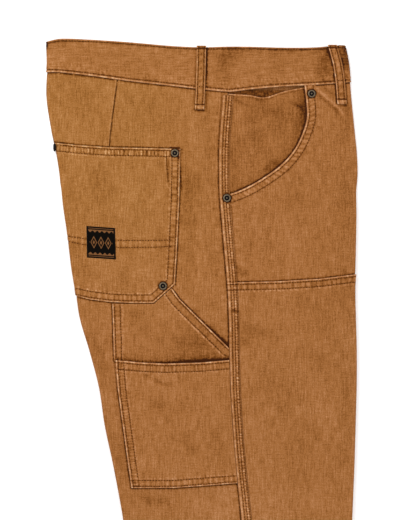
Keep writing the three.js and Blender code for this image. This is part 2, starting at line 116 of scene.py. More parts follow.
# Places across the waistband: its top edge and the seam under it
WAIST = np.array([
    (-187, 3.4, 40.2),
    (-171, 0, 40.4),
    (-135, 1, 44.4),
    (-87, 4.2, 51),
    (-39, 8.4, 56.4),
    (-3, 10.2, 60.6),
    (33, 9.4, 63.8),
    (57, 9.6, 61),
    (93, 10.6, 57.6),
    (117, 10.8, 56.4),
    (141, 10, 55.2),
    (160, 8.3, 53.7),
    (178, 7.4, 52.2),
])
WAIST_LEVEL = 40.2

# The scoop mouth of the front pocket, as drop and across
SCOOP = np.array([
    (56, 123.4),
    (77, 126),
    (94, 126.6),
    (105, 124.2),
    (118, 119.4),
    (130, 113.4),
    (142, 104.8),
    (154, 92.6),
    (163, 80.4),
    (171, 68),
    (178, 55.4),
    (184, 42),
    (189, 27.2),
])


def traced(*pixels):
    """A line through pixels of the photo, as places across and down the garment."""
    first_across, first_drop = 202, 38.5
    return np.array([((x - first_across) * PIXEL, (y - first_drop) * PIXEL) for x, y in pixels])


def mix(a, b, t):
    """The value a share t of the way from a to b."""
    return a + (b - a) * t


def smooth(t):
    """A share from 0 to 1 that starts and ends softly."""
    t = np.clip(t, 0, 1)
    return t * t * (3 - 2 * t)


def bell(distance, width):
    """A soft hump of height 1 that falls to about a third at its width."""
    return np.exp(-((distance / width) ** 2))


def curved(table, column, at):
    """The smooth value between the rows of a table, whose first column is in order."""
    places, values = table[:, 0], table[:, column]
    slopes = np.empty(len(values))
    slopes[1:-1] = (values[2:] - values[:-2]) / (places[2:] - places[:-2])
    slopes[0] = (values[1] - values[0]) / (places[1] - places[0])
    slopes[-1] = (values[-1] - values[-2]) / (places[-1] - places[-2])
    i = np.clip(np.searchsorted(places, at, side="right") - 1, 0, len(places) - 2)
    span = places[i + 1] - places[i]
    t = np.clip((at - places[i]) / span, 0, 1)
    leave = slopes[i] * span * t * (1 - t) ** 2
    arrive = slopes[i + 1] * span * t * t * (t - 1)
    return mix(values[i], values[i + 1], smooth(t)) + leave + arrive


def fold_at(side, drop):
    """The place of the back fold, where side is -1, or of the front one."""
    return np.where(side > 0, curved(OUTLINE, FRONT, drop), curved(OUTLINE, BACK, drop))


def seam_at(drop):
    return curved(OUTLINE, SEAM, drop)


def waist_top(across):
    return curved(WAIST, 1, across)


def waist_seam(across):
    return curved(WAIST, 2, across)


def scoop_at(drop):
    return curved(SCOOP, 1, drop)


def leg_share(across, drop):
    """0 where the pile is the two layers of the hips, 1 where it is the four of the legs."""
    reach = abs(fold_at(across - CROTCH_ACROSS, drop) - CROTCH_ACROSS)
    outward = np.minimum(1, abs(across - CROTCH_ACROSS) / reach)
    start = CROTCH_DROP - CROTCH_RISE * outward**3
    return smooth((drop - start + CROTCH_RAMP) / CROTCH_RAMP)


def top_height(across, drop):
    """The height of the upper face, which falls a little beside the folds."""
    inward = np.minimum(across - fold_at(-1, drop), fold_at(1, drop) - across)
    fall = SHOULDER_FALL * (1 - smooth(inward / SHOULDER_WIDTH))
    return mix(HIPS_HIGH, LEGS_HIGH, leg_share(across, drop)) - fall


class Fold:
    """How the upper or lower half of the garment goes round a fold, at each drop."""

    def __init__(self, side, drop, upper):
        at = fold_at(side, drop)
        self.side = side
        self.share = leg_share(at, drop)
        self.reach = mix(HIPS_REACH, LEGS_REACH, self.share)
        self.start = at - side * self.reach
        self.up = 1 if upper else -1
        self.edge = mix(HIPS_HIGH, LEGS_HIGH, self.share) / 2 + self.up * GAP / 2
        top = top_height(self.start, drop) if upper else 0
        self.height = abs(top - self.edge)
        quarter = math.pi / 2 * np.hypot(self.reach, self.height) * math.sqrt(0.5)
        half = math.pi * np.hypot(self.reach, self.height / 2) * math.sqrt(0.5)
        self.curl = mix(quarter, half, self.share)


def cloth(across, drop, lift, upper=True):
    """Points `lift` outside a half of the garment. `across` runs on round the folds."""
    across, drop, lift = np.broadcast_arrays(across, drop, lift)
    f = Fold(np.where(across > CROTCH_ACROSS, 1, -1), drop, upper)
    way = f.side * (across - f.start)
    turn = np.clip(way / f.curl, 0, 1)
    inward = np.maximum(0, way - f.curl)
    quarter, half = turn * math.pi / 2, turn * math.pi
    hips_up = (f.height + lift) * np.cos(quarter)
    legs_up = f.height / 2 + (f.height / 2 + lift) * np.cos(half)
    out = (f.reach + lift) * mix(np.sin(quarter), np.sin(half), f.share) - inward
    folded = way > 0
    x = np.where(folded, f.start + f.side * out, across)
    level = top_height(across, drop) + lift if upper else -lift
    z = np.where(folded, f.edge + f.up * mix(hips_up, legs_up, f.share), level)
    return np.stack([x - MIDDLE_ACROSS, LENGTH / 2 - drop, z], axis=-1)


def beside(line, across, drop):
    """The distance from a line and the way along it. The distance is more than 0 to the right
    of a line drawn down, and above one drawn to the right."""
    nearest = np.full(across.shape, np.inf)
    distance = np.zeros(across.shape)
    way = np.zeros(across.shape)
    passed = 0.0
    for (ax, ay), (bx, by) in zip(line[:-1], line[1:]):
        dx, dy = bx - ax, by - ay
        length = math.hypot(dx, dy)
        t = np.clip(((across - ax) * dx + (drop - ay) * dy) / length**2, 0, 1)
        px, py = across - ax - t * dx, drop - ay - t * dy
        d = np.hypot(px, py)
        nearer = d < nearest
        nearest = np.where(nearer, d, nearest)
        distance = np.where(nearer, np.where(px * dy - py * dx >= 0, d, -d), distance)
        way = np.where(nearer, passed + t * length, way)
        passed += length
    return distance, way


def evenly(line, step):
    """A smooth line through the same places, with points about `step` apart."""
    lengths = np.hypot(*np.diff(line, axis=0).T)
    passed = np.concatenate([[0], np.cumsum(lengths)])
    ways = np.linspace(0, passed[-1], max(2, round(passed[-1] / step) + 1))
    table = np.column_stack([passed, line])
    if len(line) < 3:
        return np.column_stack([np.interp(ways, passed, line[:, 0]), np.interp(ways, passed, line[:, 1])])
    return np.column_stack([curved(table, 1, ways), curved(table, 2, ways)])


def sideways(line):
    """The direction across a line at each of its points, to the right of one drawn down."""
    along = np.gradient(line, axis=0)
    along /= np.hypot(along[:, :1], along[:, 1:])
    return np.column_stack([along[:, 1], -along[:, 0]])


def moved(line, distance):
    """A line moved sideways, to the right of one drawn down."""
    return line + sideways(line) * distance


def mitred(line, distance):
    """The straight stretches of a line moved sideways, with sharp corners between them."""
    along = np.diff(line, axis=0)
    along /= np.hypot(along[:, :1], along[:, 1:])
    way = np.column_stack([along[:, 1], -along[:, 0]])
    both = way[:-1] + way[1:]
    corner = both / (1 + (way[:-1] * way[1:]).sum(axis=1, keepdims=True))
    places = line + distance * np.concatenate([way[:1], corner, way[-1:]])
    return [places[k : k + 2] for k in range(len(places) - 1)]


def part_of(line, start, end):
    """The stretch of a line between two ways along it, where a way under 0 is from its end."""
    points = evenly(line, 1.5)
    passed = np.concatenate([[0], np.cumsum(np.hypot(*np.diff(points, axis=0).T))])
    if end <= 0:
        end += passed[-1]
    return points[(passed >= start) & (passed <= end)]


def uneven(way, pitch, seed):
    """A wave from -1 to 1 whose lengths and heights are as uneven as gathers are."""
    rng = np.random.default_rng(seed)
    count = int((np.max(way) - np.min(way)) / pitch * 2.6) + 12
    steps = rng.uniform(0.3, 0.75, count) * pitch
    knots = np.min(way) - pitch + np.cumsum(steps)
    heights = rng.uniform(0.2, 1.0, count) * np.where(np.arange(count) % 2, 1, -1)
    t = np.interp(way, knots, np.arange(count))
    i = np.minimum(t.astype(int), count - 2)
    return mix(heights[i], heights[i + 1], smooth(t - i))


def rough(across, drop, size, seed, stretch=1.0):
    """Soft unevenness from -1 to 1 with hollows and rises of about one size."""
    rng = np.random.default_rng(seed)
    cells = 61
    grid = rng.uniform(-1, 1, (cells, cells))
    x, y = across / size + 97.3, drop / (size * stretch) + 31.7
    i, j = np.floor(x).astype(int), np.floor(y).astype(int)
    tx, ty = smooth(x - i), smooth(y - j)
    above = mix(grid[i % cells, j % cells], grid[(i + 1) % cells, j % cells], tx)
    below = mix(grid[i % cells, (j + 1) % cells], grid[(i + 1) % cells, (j + 1) % cells], tx)
    return mix(above, below, ty)


# The main creases of the upper half: a line, its width, and its height, where less than 0 is a hollow
CREASES = [
    (traced((315, 90), (322, 97), (331, 105), (343, 115)), 2.2, -0.45),
    (traced((315, 87), (320, 91), (331, 101), (338, 107), (347, 119)), 1.9, 0.65),
    (traced((321, 86), (330, 91), (337, 99)), 2.4, -0.4),
    (traced((291, 102), (298, 105), (305, 112)), 2.2, -0.8),
    (traced((262, 172), (272, 167), (281, 158)), 5.0, -0.6),
    (traced((232, 134), (248, 127), (268, 121), (284, 119)), 6.0, 0.6),
    (traced((345, 96), (348, 112), (349, 130), (347, 146)), 4.5, -0.4),
    (traced((352, 104), (354, 124), (353, 150)), 4.0, 0.4),
    (traced((221, 48), (222, 58), (226, 72), (231, 84)), 7.0, -0.7),
    (traced((238, 50), (242, 62), (244, 76)), 8.0, 0.35),
    (traced((66, 84), (84, 96), (104, 101)), 8.0, -0.35),
    (traced((128, 96), (150, 108), (166, 124), (172, 138)), 9.0, -0.4),
    (traced((186, 100), (192, 122), (193, 150), (190, 176)), 7.0, 0.35),
    (traced((206, 112), (210, 136), (208, 166)), 6.0, -0.4),
    (traced((186, 160), (187, 190), (185, 224)), 5.0, -0.35),
    (traced((196, 196), (198, 226), (200, 262), (203, 292)), 6.0, 0.3),
    (traced((318, 118), (316, 134), (322, 160), (328, 186)), 7.0, -0.35),
    (traced((333, 150), (338, 176), (340, 204)), 8.0, 0.3),
    (traced((262, 206), (268, 226), (266, 250)), 7.0, -0.3),
    (traced((286, 210), (292, 236), (290, 262)), 7.0, 0.3),
    (traced((234, 262), (240, 271), (252, 276)), 4.0, -0.45),
    (traced((238, 322), (249, 330), (262, 333), (274, 341)), 6.5, -0.6),
    (traced((244, 313), (258, 321), (274, 325)), 7.0, 0.35),
    (traced((296, 344), (311, 352), (324, 362), (330, 374)), 8.0, -0.5),
    (traced((308, 340), (324, 350), (338, 366)), 8.0, 0.35),
    (traced((254, 372), (268, 379), (286, 381)), 8.0, -0.45),
    (traced((262, 392), (276, 401), (282, 415), (280, 432)), 9.0, -0.4),
    (traced((312, 404), (326, 414), (334, 430)), 9.0, 0.35),
    (traced((300, 452), (306, 470), (303, 492), (296, 512)), 10.0, -0.4),
    (traced((338, 300), (342, 330), (340, 352)), 7.0, 0.3),
    (traced((346, 380), (345, 410), (348, 440), (344, 470)), 6.0, -0.35),
    (traced((86, 326), (98, 346), (104, 366), (103, 384)), 6.0, -0.4),
    (traced((102, 388), (110, 402), (114, 422), (120, 446)), 5.0, 0.4),
    (traced((116, 440), (122, 462), (127, 484)), 4.5, -0.35),
    (traced((140, 372), (152, 379), (163, 384), (174, 386)), 2.6, -0.45),
    (traced((142, 378), (156, 386), (170, 391)), 4.5, 0.35),
    (traced((148, 400), (160, 406), (170, 404)), 7.0, -0.4),
    (traced((176, 438), (188, 446), (196, 458)), 6.0, -0.45),
    (traced((150, 462), (166, 466), (182, 472)), 6.5, 0.35),
    (traced((190, 390), (194, 410), (192, 436)), 7.0, 0.3),
    (traced((143, 496), (155, 503), (166, 501), (176, 509)), 5.0, -0.6),
    (traced((206, 490), (214, 498), (222, 508)), 5.0, -0.45),
    (traced((190, 492), (198, 504), (202, 518)), 6.0, 0.4),
    (traced((92, 164), (98, 186), (96, 212)), 8.0, -0.35),
    (traced((120, 160), (126, 190), (124, 222)), 9.0, 0.3),
    (traced((148, 168), (144, 196), (148, 226)), 8.0, -0.35),
    (traced((167, 156), (168, 166), (167, 176), (169, 186)), 1.9, -0.4),
    (traced((96, 258), (104, 276), (102, 292)), 8.0, 0.3),
    (traced((126, 312), (140, 324), (150, 340)), 8.0, -0.35),
    (traced((172, 322), (180, 334), (182, 350)), 6.0, 0.3),
    # Plain folds below the photo's edge, of the same kinds
    (traced((150, 540), (168, 556), (196, 560)), 9.0, -0.5),
    (traced((270, 534), (262, 560), (272, 590)), 10.0, -0.4),
    (traced((318, 560), (326, 600), (322, 640)), 9.0, 0.35),
    (traced((190, 610), (204, 640), (200, 680)), 9.0, 0.4),
    (traced((170, 700), (196, 712), (216, 730)), 8.0, -0.45),
    (traced((286, 690), (300, 716), (296, 752)), 9.0, -0.4),
    (traced((196, 780), (204, 810), (200, 846)), 8.0, 0.35),
    (traced((300, 790), (316, 812), (318, 846)), 9.0, -0.35),
    (traced((240, 850), (262, 862), (288, 860)), 7.0, -0.4),
]
FADE_LENGTH = 14.0
CREASE_DEPTH = 1.6
CREASE_WEAR_AND_LIGHT = 0.8
CREASE_SHADE = 1.1


def fade_at_ends(line, way):
    """1 along a line's middle, less than 1 near its two ends."""
    length = np.hypot(*np.diff(line, axis=0).T).sum()
    return smooth(way / FADE_LENGTH + 0.2) * smooth((length - way) / FADE_LENGTH + 0.2)


def crease_form(across, drop):
    """The height that the main creases give before they fade at the folds, and their mark, which is strongest
    on the narrow ones:
    paler on the rises, rubbed and with painted highlight, and painted shade in the hollows."""
    height, mark = np.zeros(across.shape), np.zeros(across.shape)
    for line, width, rise in CREASES:
        near = (abs(across - line[:, 0].mean()) < np.ptp(line[:, 0]) / 2 + 4 * width) & (
            abs(drop - line[:, 1].mean()) < np.ptp(line[:, 1]) / 2 + 4 * width
        )
        if not near.any():
            continue
        distance, way = beside(line, across[near], drop[near])
        form = CREASE_DEPTH * rise * fade_at_ends(line, way) * bell(distance, width)
        height[near] += form
        mark[near] += form / width
    return height, mark


# Broad soft areas of painted light and painted shade on the upper half: the middle, the reach across and down
# in millimetres, and the mark, which is more than 0 where the cloth is painted paler
AREAS = [
    ((232, 54), 12, 14, -0.36),
    ((290, 47), 72, 9, -0.22),
    ((190, 222), 8, 60, -0.22),
    ((232, 248), 9, 30, 0.24),
    ((230, 296), 12, 17, 0.14),
    ((200, 343), 32, 14, -0.33),
    ((282, 118), 17, 14, -0.2),
    ((256, 168), 10, 34, 0.18),
    ((345, 210), 10, 170, -0.14),
    ((150, 215), 12, 54, 0.12),
    ((245, 504), 75, 26, 0.15),
    ((56, 56), 10, 14, 0.18),
    ((320, 245), 26, 31, -0.12),
    ((84, 297), 12, 10, 0.16),
    ((238, 114), 11, 17, 0.16),
    ((254, 390), 11, 11, -0.14),
    ((308, 434), 17, 11, -0.15),
    ((226, 344), 9, 22, -0.06),
]


def area_mark(across, drop):
    """How much paler or darker the soft areas of painted light and shade make the cloth."""
    total = np.zeros(across.shape)
    for middle, reach_across, reach_down, mark in AREAS:
        x, y = traced(middle)[0]
        total += mark * bell(across - x, reach_across) * bell(drop - y, reach_down)
    return total


def drape(across, drop, creases):
    """The height that creases and soft rises give all layers of the upper half."""
    height = creases + 0.25 * rough(across, drop, 46, 5, 1.5) + 0.14 * rough(across, drop, 17, 8, 1.8)
    side = np.where(across > CROTCH_ACROSS, 1, -1)
    f = Fold(side, drop, True)
    return height * (1 - smooth(side * (across - f.start) / (0.7 * f.curl)))


LIP_STEPS = [0, 0.3, 0.8]


def spaced(length, coarse, fine=0.0, zone=0.0, lips=(True, True), zones=()):
    """Shares from 0 to 1 along a length, close together at its lips, in a zone beside them and
    in other zones, each from one place to another with its own step."""
    near = list(LIP_STEPS)
    if fine:
        near += list(np.arange(near[-1] + fine, zone, fine))
    left = near if lips[0] else [0]
    right = near if lips[1] else [0]
    end = length - right[-1]
    middle = [left[-1]]
    while middle[-1] < end:
        steps = [step for first, last, step in zones if first <= middle[-1] <= last]
        middle.append(middle[-1] + min([coarse, *steps]))
    middle[-1] = end
    if end - middle[-2] < 0.3 * coarse:
        middle.pop(-2)
    return np.concatenate([left[:-1], middle, length - np.array(right[:-1])[::-1]]) / length


# Wear, painted highlights and painted shade on a turned and stitched edge, whose first row lies darker than
# the others, and painted shadow beside an edge that lies on cloth
RIM_WEAR = 0.85
ROW_SHADE = 0.62
FIRST_ROW_SHARE = 1.3
OTHER_ROW_SHARE = 0.85
PUCKER_WEAR_AND_LIGHT = 0.6
EDGE_SHADE = 2.4
made_surfaces = []


class Surface:
    """A piece of cloth on a grid of places, with the heights of its faces and its marks of rubbing, painted
    light and painted shade.
    """

    def __init__(self, across, drop, low, high, upper=True, draped=True):
        self.across, self.drop = (np.array(a, float) for a in np.broadcast_arrays(across, drop))
        self.upper = upper
        creases, mark = crease_form(self.across, self.drop) if draped else np.zeros((2, *self.across.shape))
        lift = drape(self.across, self.drop, creases) if draped else 0
        self.low = np.zeros(self.across.shape) + low + lift
        self.high = np.zeros(self.across.shape) + high + lift
        # Creases are paler on their rises, rubbed and with painted highlight, and painted with shade in their
        # hollows; the soft areas get painted light and painted shade
        area = area_mark(self.across, self.drop) * draped
        self.worn = CREASE_WEAR_AND_LIGHT * np.maximum(mark, 0) + np.maximum(area, 0)
        self.shaded = CREASE_SHADE * np.maximum(-mark, 0) + np.maximum(-area, 0)
        self.known = {}

    def beside(self, line):
        if id(line) not in self.known:
            self.known[id(line)] = (*beside(line, self.across, self.drop), line)
        return self.known[id(line)][:2]

    def lift(self, rise):
        """Raises both faces."""
        self.low += rise
        self.high += rise

    def ridge(self, line, at, width, height, wear_and_light=0.0, shade=0.0, both=False):
        """A rounded ridge, or a groove where height is under 0, at a distance from a line."""
        distance, way = self.beside(line)
        form = bell(distance - at, width)
        self.high += height * form
        if both:
            self.low += height * form
        if wear_and_light:
            self.worn += wear_and_light * form * (0.75 + 0.45 * uneven(way, 15, 7))
        self.shaded += shade * form

    def shelf(self, line, near, far, rise, soft=1.0):
        """Raises the cloth between two distances from a line."""
        distance, _ = self.beside(line)
        self.high += rise * smooth((distance - near) / soft) * smooth((far - distance) / soft)

    def puckers(self, line, near, far, pitch, depth, seed, wear_and_light=0.0, skew=0.0, soft=1.6):
        """Uneven gathers between two distances from a line, with painted highlight on their crests and
        painted shade in their troughs.
        """
        distance, way = self.beside(line)
        wave = uneven(way + skew * distance, pitch, seed)
        window = smooth((distance - near) / soft) * smooth((far - distance) / soft)
        self.high += depth * wave * window
        self.worn += wear_and_light * np.maximum(wave, 0) * window
        self.shaded += wear_and_light * np.maximum(-wave, 0) * window

    def turned_edge(self, line, inward, rows, seed, pitch, wear_and_light=RIM_WEAR, gather=1.0):
        """An edge turned in and sewn down: a rubbed pale rim, grooves at its rows darkened with painted
        shade, and gathers.
        """
        self.ridge(line, inward * 0.8, 1.05, 0.2, wear_and_light=wear_and_light)
        for row in rows:
            shade = ROW_SHADE * (FIRST_ROW_SHARE if row == rows[0] else OTHER_ROW_SHARE)
            self.ridge(line, inward * row, 0.85, -0.3, shade=shade)
        self.ridge(line, inward * (rows[-1] + 1.5), 0.9, 0.06, wear_and_light=0.35)
        far = inward * (rows[-1] + 0.6)
        self.shelf(line, min(0, far), max(0, far), 0.35)
        if len(rows) > 1:
            ends = sorted((inward * rows[0], inward * rows[-1]))
            self.puckers(line, *ends, pitch, 0.24 * gather, seed, wear_and_light=PUCKER_WEAR_AND_LIGHT * gather, soft=1.2)
        ends = sorted((inward * rows[-1], inward * (rows[-1] + 10)))
        self.puckers(line, *ends, pitch * 1.5, 0.16, seed + 1, wear_and_light=0.08, soft=3.0)
        ends = sorted((inward * (rows[-1] + 0.5), inward * (rows[-1] + 3.5)))
        self.puckers(line, *ends, pitch * 0.8, 0.14, seed + 2, wear_and_light=0.4, soft=1.2)

    def under_edge(self, line, outward, shade=0.5):
        """The dark line of painted shadow on the cloth just outside an edge that lies on it."""
        self.ridge(line, outward * 0.45, 0.95, -0.18, shade=shade * EDGE_SHADE)
        self.puckers(line, *sorted((0, outward * 9)), 8.0, 0.12, 77, wear_and_light=0.12, soft=3.0)

    def round_edges(self, sides, radius=0.55):
        """Rounds the upper corner of the free sides, named by the first letters of left, right,
        top and bottom."""
        step_across = np.hypot(np.diff(self.across, axis=1), np.diff(self.drop, axis=1))
        step_down = np.hypot(np.diff(self.across, axis=0), np.diff(self.drop, axis=0))
        from_left = np.pad(np.cumsum(step_across, axis=1), ((0, 0), (1, 0)))
        from_top = np.pad(np.cumsum(step_down, axis=0), ((1, 0), (0, 0)))
        ways = {
            "l": from_left,
            "r": from_left[:, -1:] - from_left,
            "t": from_top,
            "b": from_top[-1:] - from_top,
        }
        for side in sides:
            t = np.clip(ways[side] / radius, 0, 1)
            round_off = 0.45 + 0.55 * np.sqrt(1 - (1 - t) ** 2)
            self.high = self.low + (self.high - self.low) * round_off
        return self

    def build(self, name, finish, uv=None, slot="duck"):
        """The piece's closed mesh, from the points of its two faces."""
        outer = cloth(self.across, self.drop, self.high, self.upper)
        inner = cloth(self.across, self.drop, self.low, self.upper)
        if uv is None:
            uv = (self.across * MM, -self.drop * MM)
        piece = wall(name, outer, inner, uv, self.worn, self.shaded, finish)
        if self.upper:
            made_surfaces.append(outer)
        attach(piece, "root")
        return piece


def grid_faces(rows, columns):
    """The faces between the points of a grid, as rows of four point numbers."""
    i, j = np.meshgrid(np.arange(rows - 1), np.arange(columns - 1), indexing="ij")
    corner = (i * columns + j).ravel()
    return np.column_stack([corner, corner + columns, corner + columns + 1, corner + 1])


def wall(name, outer, inner, uv, worn, shaded, finish):
    """A closed wall between two grids of points that have the same rows and columns."""
    rows, columns = outer.shape[:2]
    count = rows * columns
    points = np.concatenate([outer.reshape(-1, 3), inner.reshape(-1, 3)]) * MM
    faces = grid_faces(rows, columns)
    index = np.arange(count).reshape(rows, columns)
    rim = np.concatenate([index[:-1, 0], index[-1, :-1], index[:0:-1, -1], index[0, :0:-1]])
    after = np.roll(rim, -1)
    edge = np.column_stack([after, rim, rim + count, after + count])
    faces = np.concatenate([faces, faces[:, ::-1] + count, edge])
    a, b, c, d = (points[faces[:, k]] for k in range(4))
    volume = (a * np.cross(b, c)).sum() + (a * np.cross(c, d)).sum()
    if volume < 0:
        faces = faces[:, ::-1]
    mesh = bpy.data.meshes.new(name)
    mesh.from_pydata(points.tolist(), [], faces.tolist())
    layer = mesh.uv_layers.new(name="cloth")
    places = np.tile(np.column_stack([uv[0].ravel(), uv[1].ravel()]), (2, 1))
    layer.data.foreach_set("uv", places[faces.ravel()].astype(np.float32).ravel())
    for mark, values in (("worn", worn), ("shaded", shaded)):
        attribute = mesh.attributes.new(mark, "FLOAT", "POINT")
        attribute.data.foreach_set("value", np.tile(values.ravel(), 2).astype(np.float32))
    mesh.materials.append(finish)
    return settle(name, mesh)


DOUBLES_WITHIN = 2e-6
SHRUNKEN_BELOW = 1e-6
CLOTH_SMOOTH_BELOW = math.radians(50)


def settle(name, mesh):
    """A new object from a mesh, with its doubles and its shrunken faces taken out."""
    shell = bmesh.new()
    shell.from_mesh(mesh)
    bmesh.ops.remove_doubles(shell, verts=shell.verts, dist=DOUBLES_WITHIN)
    bmesh.ops.dissolve_degenerate(shell, edges=shell.edges, dist=SHRUNKEN_BELOW)
    shell.to_mesh(mesh)
    shell.free()
    piece = bpy.data.objects.new(name, mesh)
    bpy.context.collection.objects.link(piece)
    only(piece)
    bpy.ops.object.shade_smooth_by_angle(angle=CLOTH_SMOOTH_BELOW)
    return piece


def only(piece):
    """Selects one piece alone."""
    bpy.ops.object.select_all(action="DESELECT")
    piece.select_set(True)
    bpy.context.view_layer.objects.active = piece


class Socket:
    """A value in a material, whose sums add Math nodes."""

    def __init__(self, finish, socket):
        self.finish = finish
        self.socket = socket

    def math(self, operation, first, second):
        return self.finish.node("ShaderNodeMath", {"operation": operation}, {0: first, 1: second})

    def __add__(self, other):
        return self.math("ADD", self, other)

    def __radd__(self, other):
        return self.math("ADD", other, self)

    def __sub__(self, other):
        return self.math("SUBTRACT", self, other)

    def __rsub__(self, other):
        return self.math("SUBTRACT", other, self)

    def __mul__(self, other):
        return self.math("MULTIPLY", self, other)

    def __rmul__(self, other):
        return self.math("MULTIPLY", other, self)

    def __truediv__(self, other):
        return self.math("DIVIDE", self, other)

    def sine(self):
        return self.math("SINE", self, 0.0)

    def above(self, other):
        return self.math("GREATER_THAN", self, other)

    def size(self):
        return self.math("ABSOLUTE", self, 0.0)

    def fraction(self):
        return self.math("FRACT", self, 0.0)


class Finish:
    """A material, and one way to add each of its nodes."""

    def __init__(self, name):
        self.material = bpy.data.materials.new(name)
        self.material.use_nodes = True
        self.nodes = self.material.node_tree.nodes
        self.surface = self.nodes["Principled BSDF"]

    def join(self, value, target):
        if isinstance(value, Socket):
            self.material.node_tree.links.new(value.socket, target)
        else:
            target.default_value = value

    def node(self, kind, settings, inputs, output=0):
        node = self.nodes.new(kind)
        for name, value in settings.items():
            if name == "stops":
                self.set_stops(node.color_ramp, value)
            else:
                setattr(node, name, value)
        for key, value in inputs.items():
            self.join(value, node.inputs[key])
        return Socket(self, node.outputs[output])

    def set_stops(self, ramp, stops):
        while len(ramp.elements) < len(stops):
            ramp.elements.new(0.5)
        for element, (place, colour) in zip(ramp.elements, stops):
            element.position = place
            element.color = (*colour, 1)

    def put(self, **inputs):
        """Sets the shader's sockets, where a name's underscores stand for spaces."""
        for name, value in inputs.items():
            self.join(value, self.surface.inputs[name.replace("_", " ")])
        return self.material

    def places(self):
        """The two coordinates of the cloth, in metres of it."""
        cloth_map = self.node("ShaderNodeUVMap", {"uv_map": "cloth"}, {})
        apart = self.node("ShaderNodeSeparateXYZ", {}, {0: cloth_map})
        return apart, Socket(self, apart.socket.node.outputs[1])

    def mark(self, name):
        return self.node("ShaderNodeAttribute", {"attribute_name": name}, {}, "Fac")

    def noise(self, across, down, detail=2.0):
        """Noise about 0 on two coordinates."""
        place = self.node("ShaderNodeCombineXYZ", {}, {0: across, 1: down})
        settings = {"noise_dimensions": "2D"}
        inputs = {"Vector": place, "Scale": 1.0, "Detail": detail, "Roughness": 0.55}
        return self.node("ShaderNodeTexNoise", settings, inputs) - 0.5

    def weave(self, across, down, pitch):
        """The crossings of a plain weave whose threads are half a pitch wide."""
        turn = 2 * math.pi / pitch
        return (across * turn).sine() * (down * turn).sine()

    def clamped(self, value):
        return self.node("ShaderNodeClamp", {}, {"Value": value})

    def bump(self, height, distance):
        return self.node("ShaderNodeBump", {}, {"Height": height, "Distance": distance})


def linear(red, green, blue):
    """The shader's colour for one that a screen shows as 0 to 255."""
    shares = [c / 255 for c in (red, green, blue)]
    return tuple(c / 12.92 if c <= 0.04045 else ((c + 0.055) / 1.055) ** 2.4 for c in shares)


# The sockets of a Mix node that take and give colours
MIX_FIRST, MIX_SECOND, MIX_RESULT = 6, 7, 2

# Washed duck from its deepest tone, in painted shade, to its palest, rubbed and in painted light, as a screen
# shows them
DUCK_TONES = [
    (0.0, linear(60, 27, 5)),
    (0.25, linear(113, 64, 20)),
    (0.5, linear(153, 98, 50)),
    (0.75, linear(182, 127, 84)),
    (1.0, linear(220, 174, 132)),
]
YELLOWER_TINT = (1.01, 1.07, 0.95, 1)
DUCK_WEAVE = 0.00092
LABEL_WEAVE = 0.0006


def duck_cloth(name, tone=0.5, crosswise=False):
    """Washed tan duck: a heathered plain weave, paler where its marks give rubbing and painted highlight, and
    darker where they give painted shade in folds, grooves and gaps.
    """
    f = Finish(name)
    across, up = f.places()
    u, v = (up, across) if crosswise else (across, up)
    streaks = f.noise(u * 640, v * 62) * 0.44
    weft = f.noise(u * 90, v * 600) * 0.26
    fleck = f.noise(u * 720, v * 660, 1.0) * 0.42
    mottle = f.noise(u * 130, v * 70, 3.0) * 0.17
    broad = f.noise(u * 24, v * 14, 2.0) * 0.18
    worn, shaded = f.mark("worn"), f.mark("shaded")
    gathers = f.noise(u * 340, v * 340, 1.0) * (worn + shaded) * 0.7
    grain = (streaks + weft + fleck + mottle + broad) * 0.86
    # One mark makes the cloth paler with rubbing and painted highlight, the shaded mark makes it darker with
    # painted shade
    shade = tone + grain + gathers + worn * 0.45 - shaded * 0.45
    colour = f.node("ShaderNodeValToRGB", {"stops": DUCK_TONES}, {0: shade})
    # The back of the hips has faded to a yellower tan
    yellower = f.clamped((up + 0.36) * 6) * f.clamped((0.05 - across) * 8)
    if crosswise:
        yellower = yellower * 0.25
    tint = {"Factor": yellower, MIX_FIRST: colour, MIX_SECOND: YELLOWER_TINT}
    colour = f.node("ShaderNodeMix", {"data_type": "RGBA", "blend_type": "MULTIPLY"}, tint, MIX_RESULT)
    slubs = f.noise(u * 900, v * 260, 2.0)
    height = f.weave(u, v, DUCK_WEAVE) * 0.5 + slubs * 0.9 + streaks + gathers * 2
    rough_share = 0.9 - worn * 0.06 + slubs * 0.08
    f.surface.inputs["Sheen Weight"].default_value = 0.03
    f.surface.inputs["Specular IOR Level"].default_value = 0.06
    return f.put(Base_Color=colour, Roughness=rough_share, Normal=f.bump(height, 0.00025))


def thread_finish(name, dark, pale):
    """A dull twisted thread."""
    f = Finish(name)
    place = f.node("ShaderNodeTexCoord", {}, {}, "Object")
    noise = f.node("ShaderNodeTexNoise", {}, {"Vector": place, "Scale": 900.0, "Detail": 1.0})
    colour = f.node("ShaderNodeValToRGB", {"stops": [(0.3, dark), (0.7, pale)]}, {0: noise})
    twist = f.node("ShaderNodeTexNoise", {}, {"Vector": place, "Scale": 4200.0, "Detail": 0.0})
    f.surface.inputs["Specular IOR Level"].default_value = 0.08
    return f.put(Base_Color=colour, Roughness=0.85, Normal=f.bump(twist, 0.0001))


def metal_finish(name, dark, pale, roughness, metallic):
    """Worn metal, mottled between two tones."""
    f = Finish(name)
    place = f.node("ShaderNodeTexCoord", {}, {}, "Object")
    noise = f.node("ShaderNodeTexNoise", {}, {"Vector": place, "Scale": 1400.0, "Detail": 3.0})
    colour = f.node("ShaderNodeValToRGB", {"stops": [(0.3, dark), (0.75, pale)]}, {0: noise})
    f.surface.inputs["Metallic"].default_value = metallic
    f.surface.inputs["Specular IOR Level"].default_value = 0.15
    return f.put(Base_Color=colour, Roughness=noise * 0.3 + roughness, Normal=f.bump(noise, 0.00008))


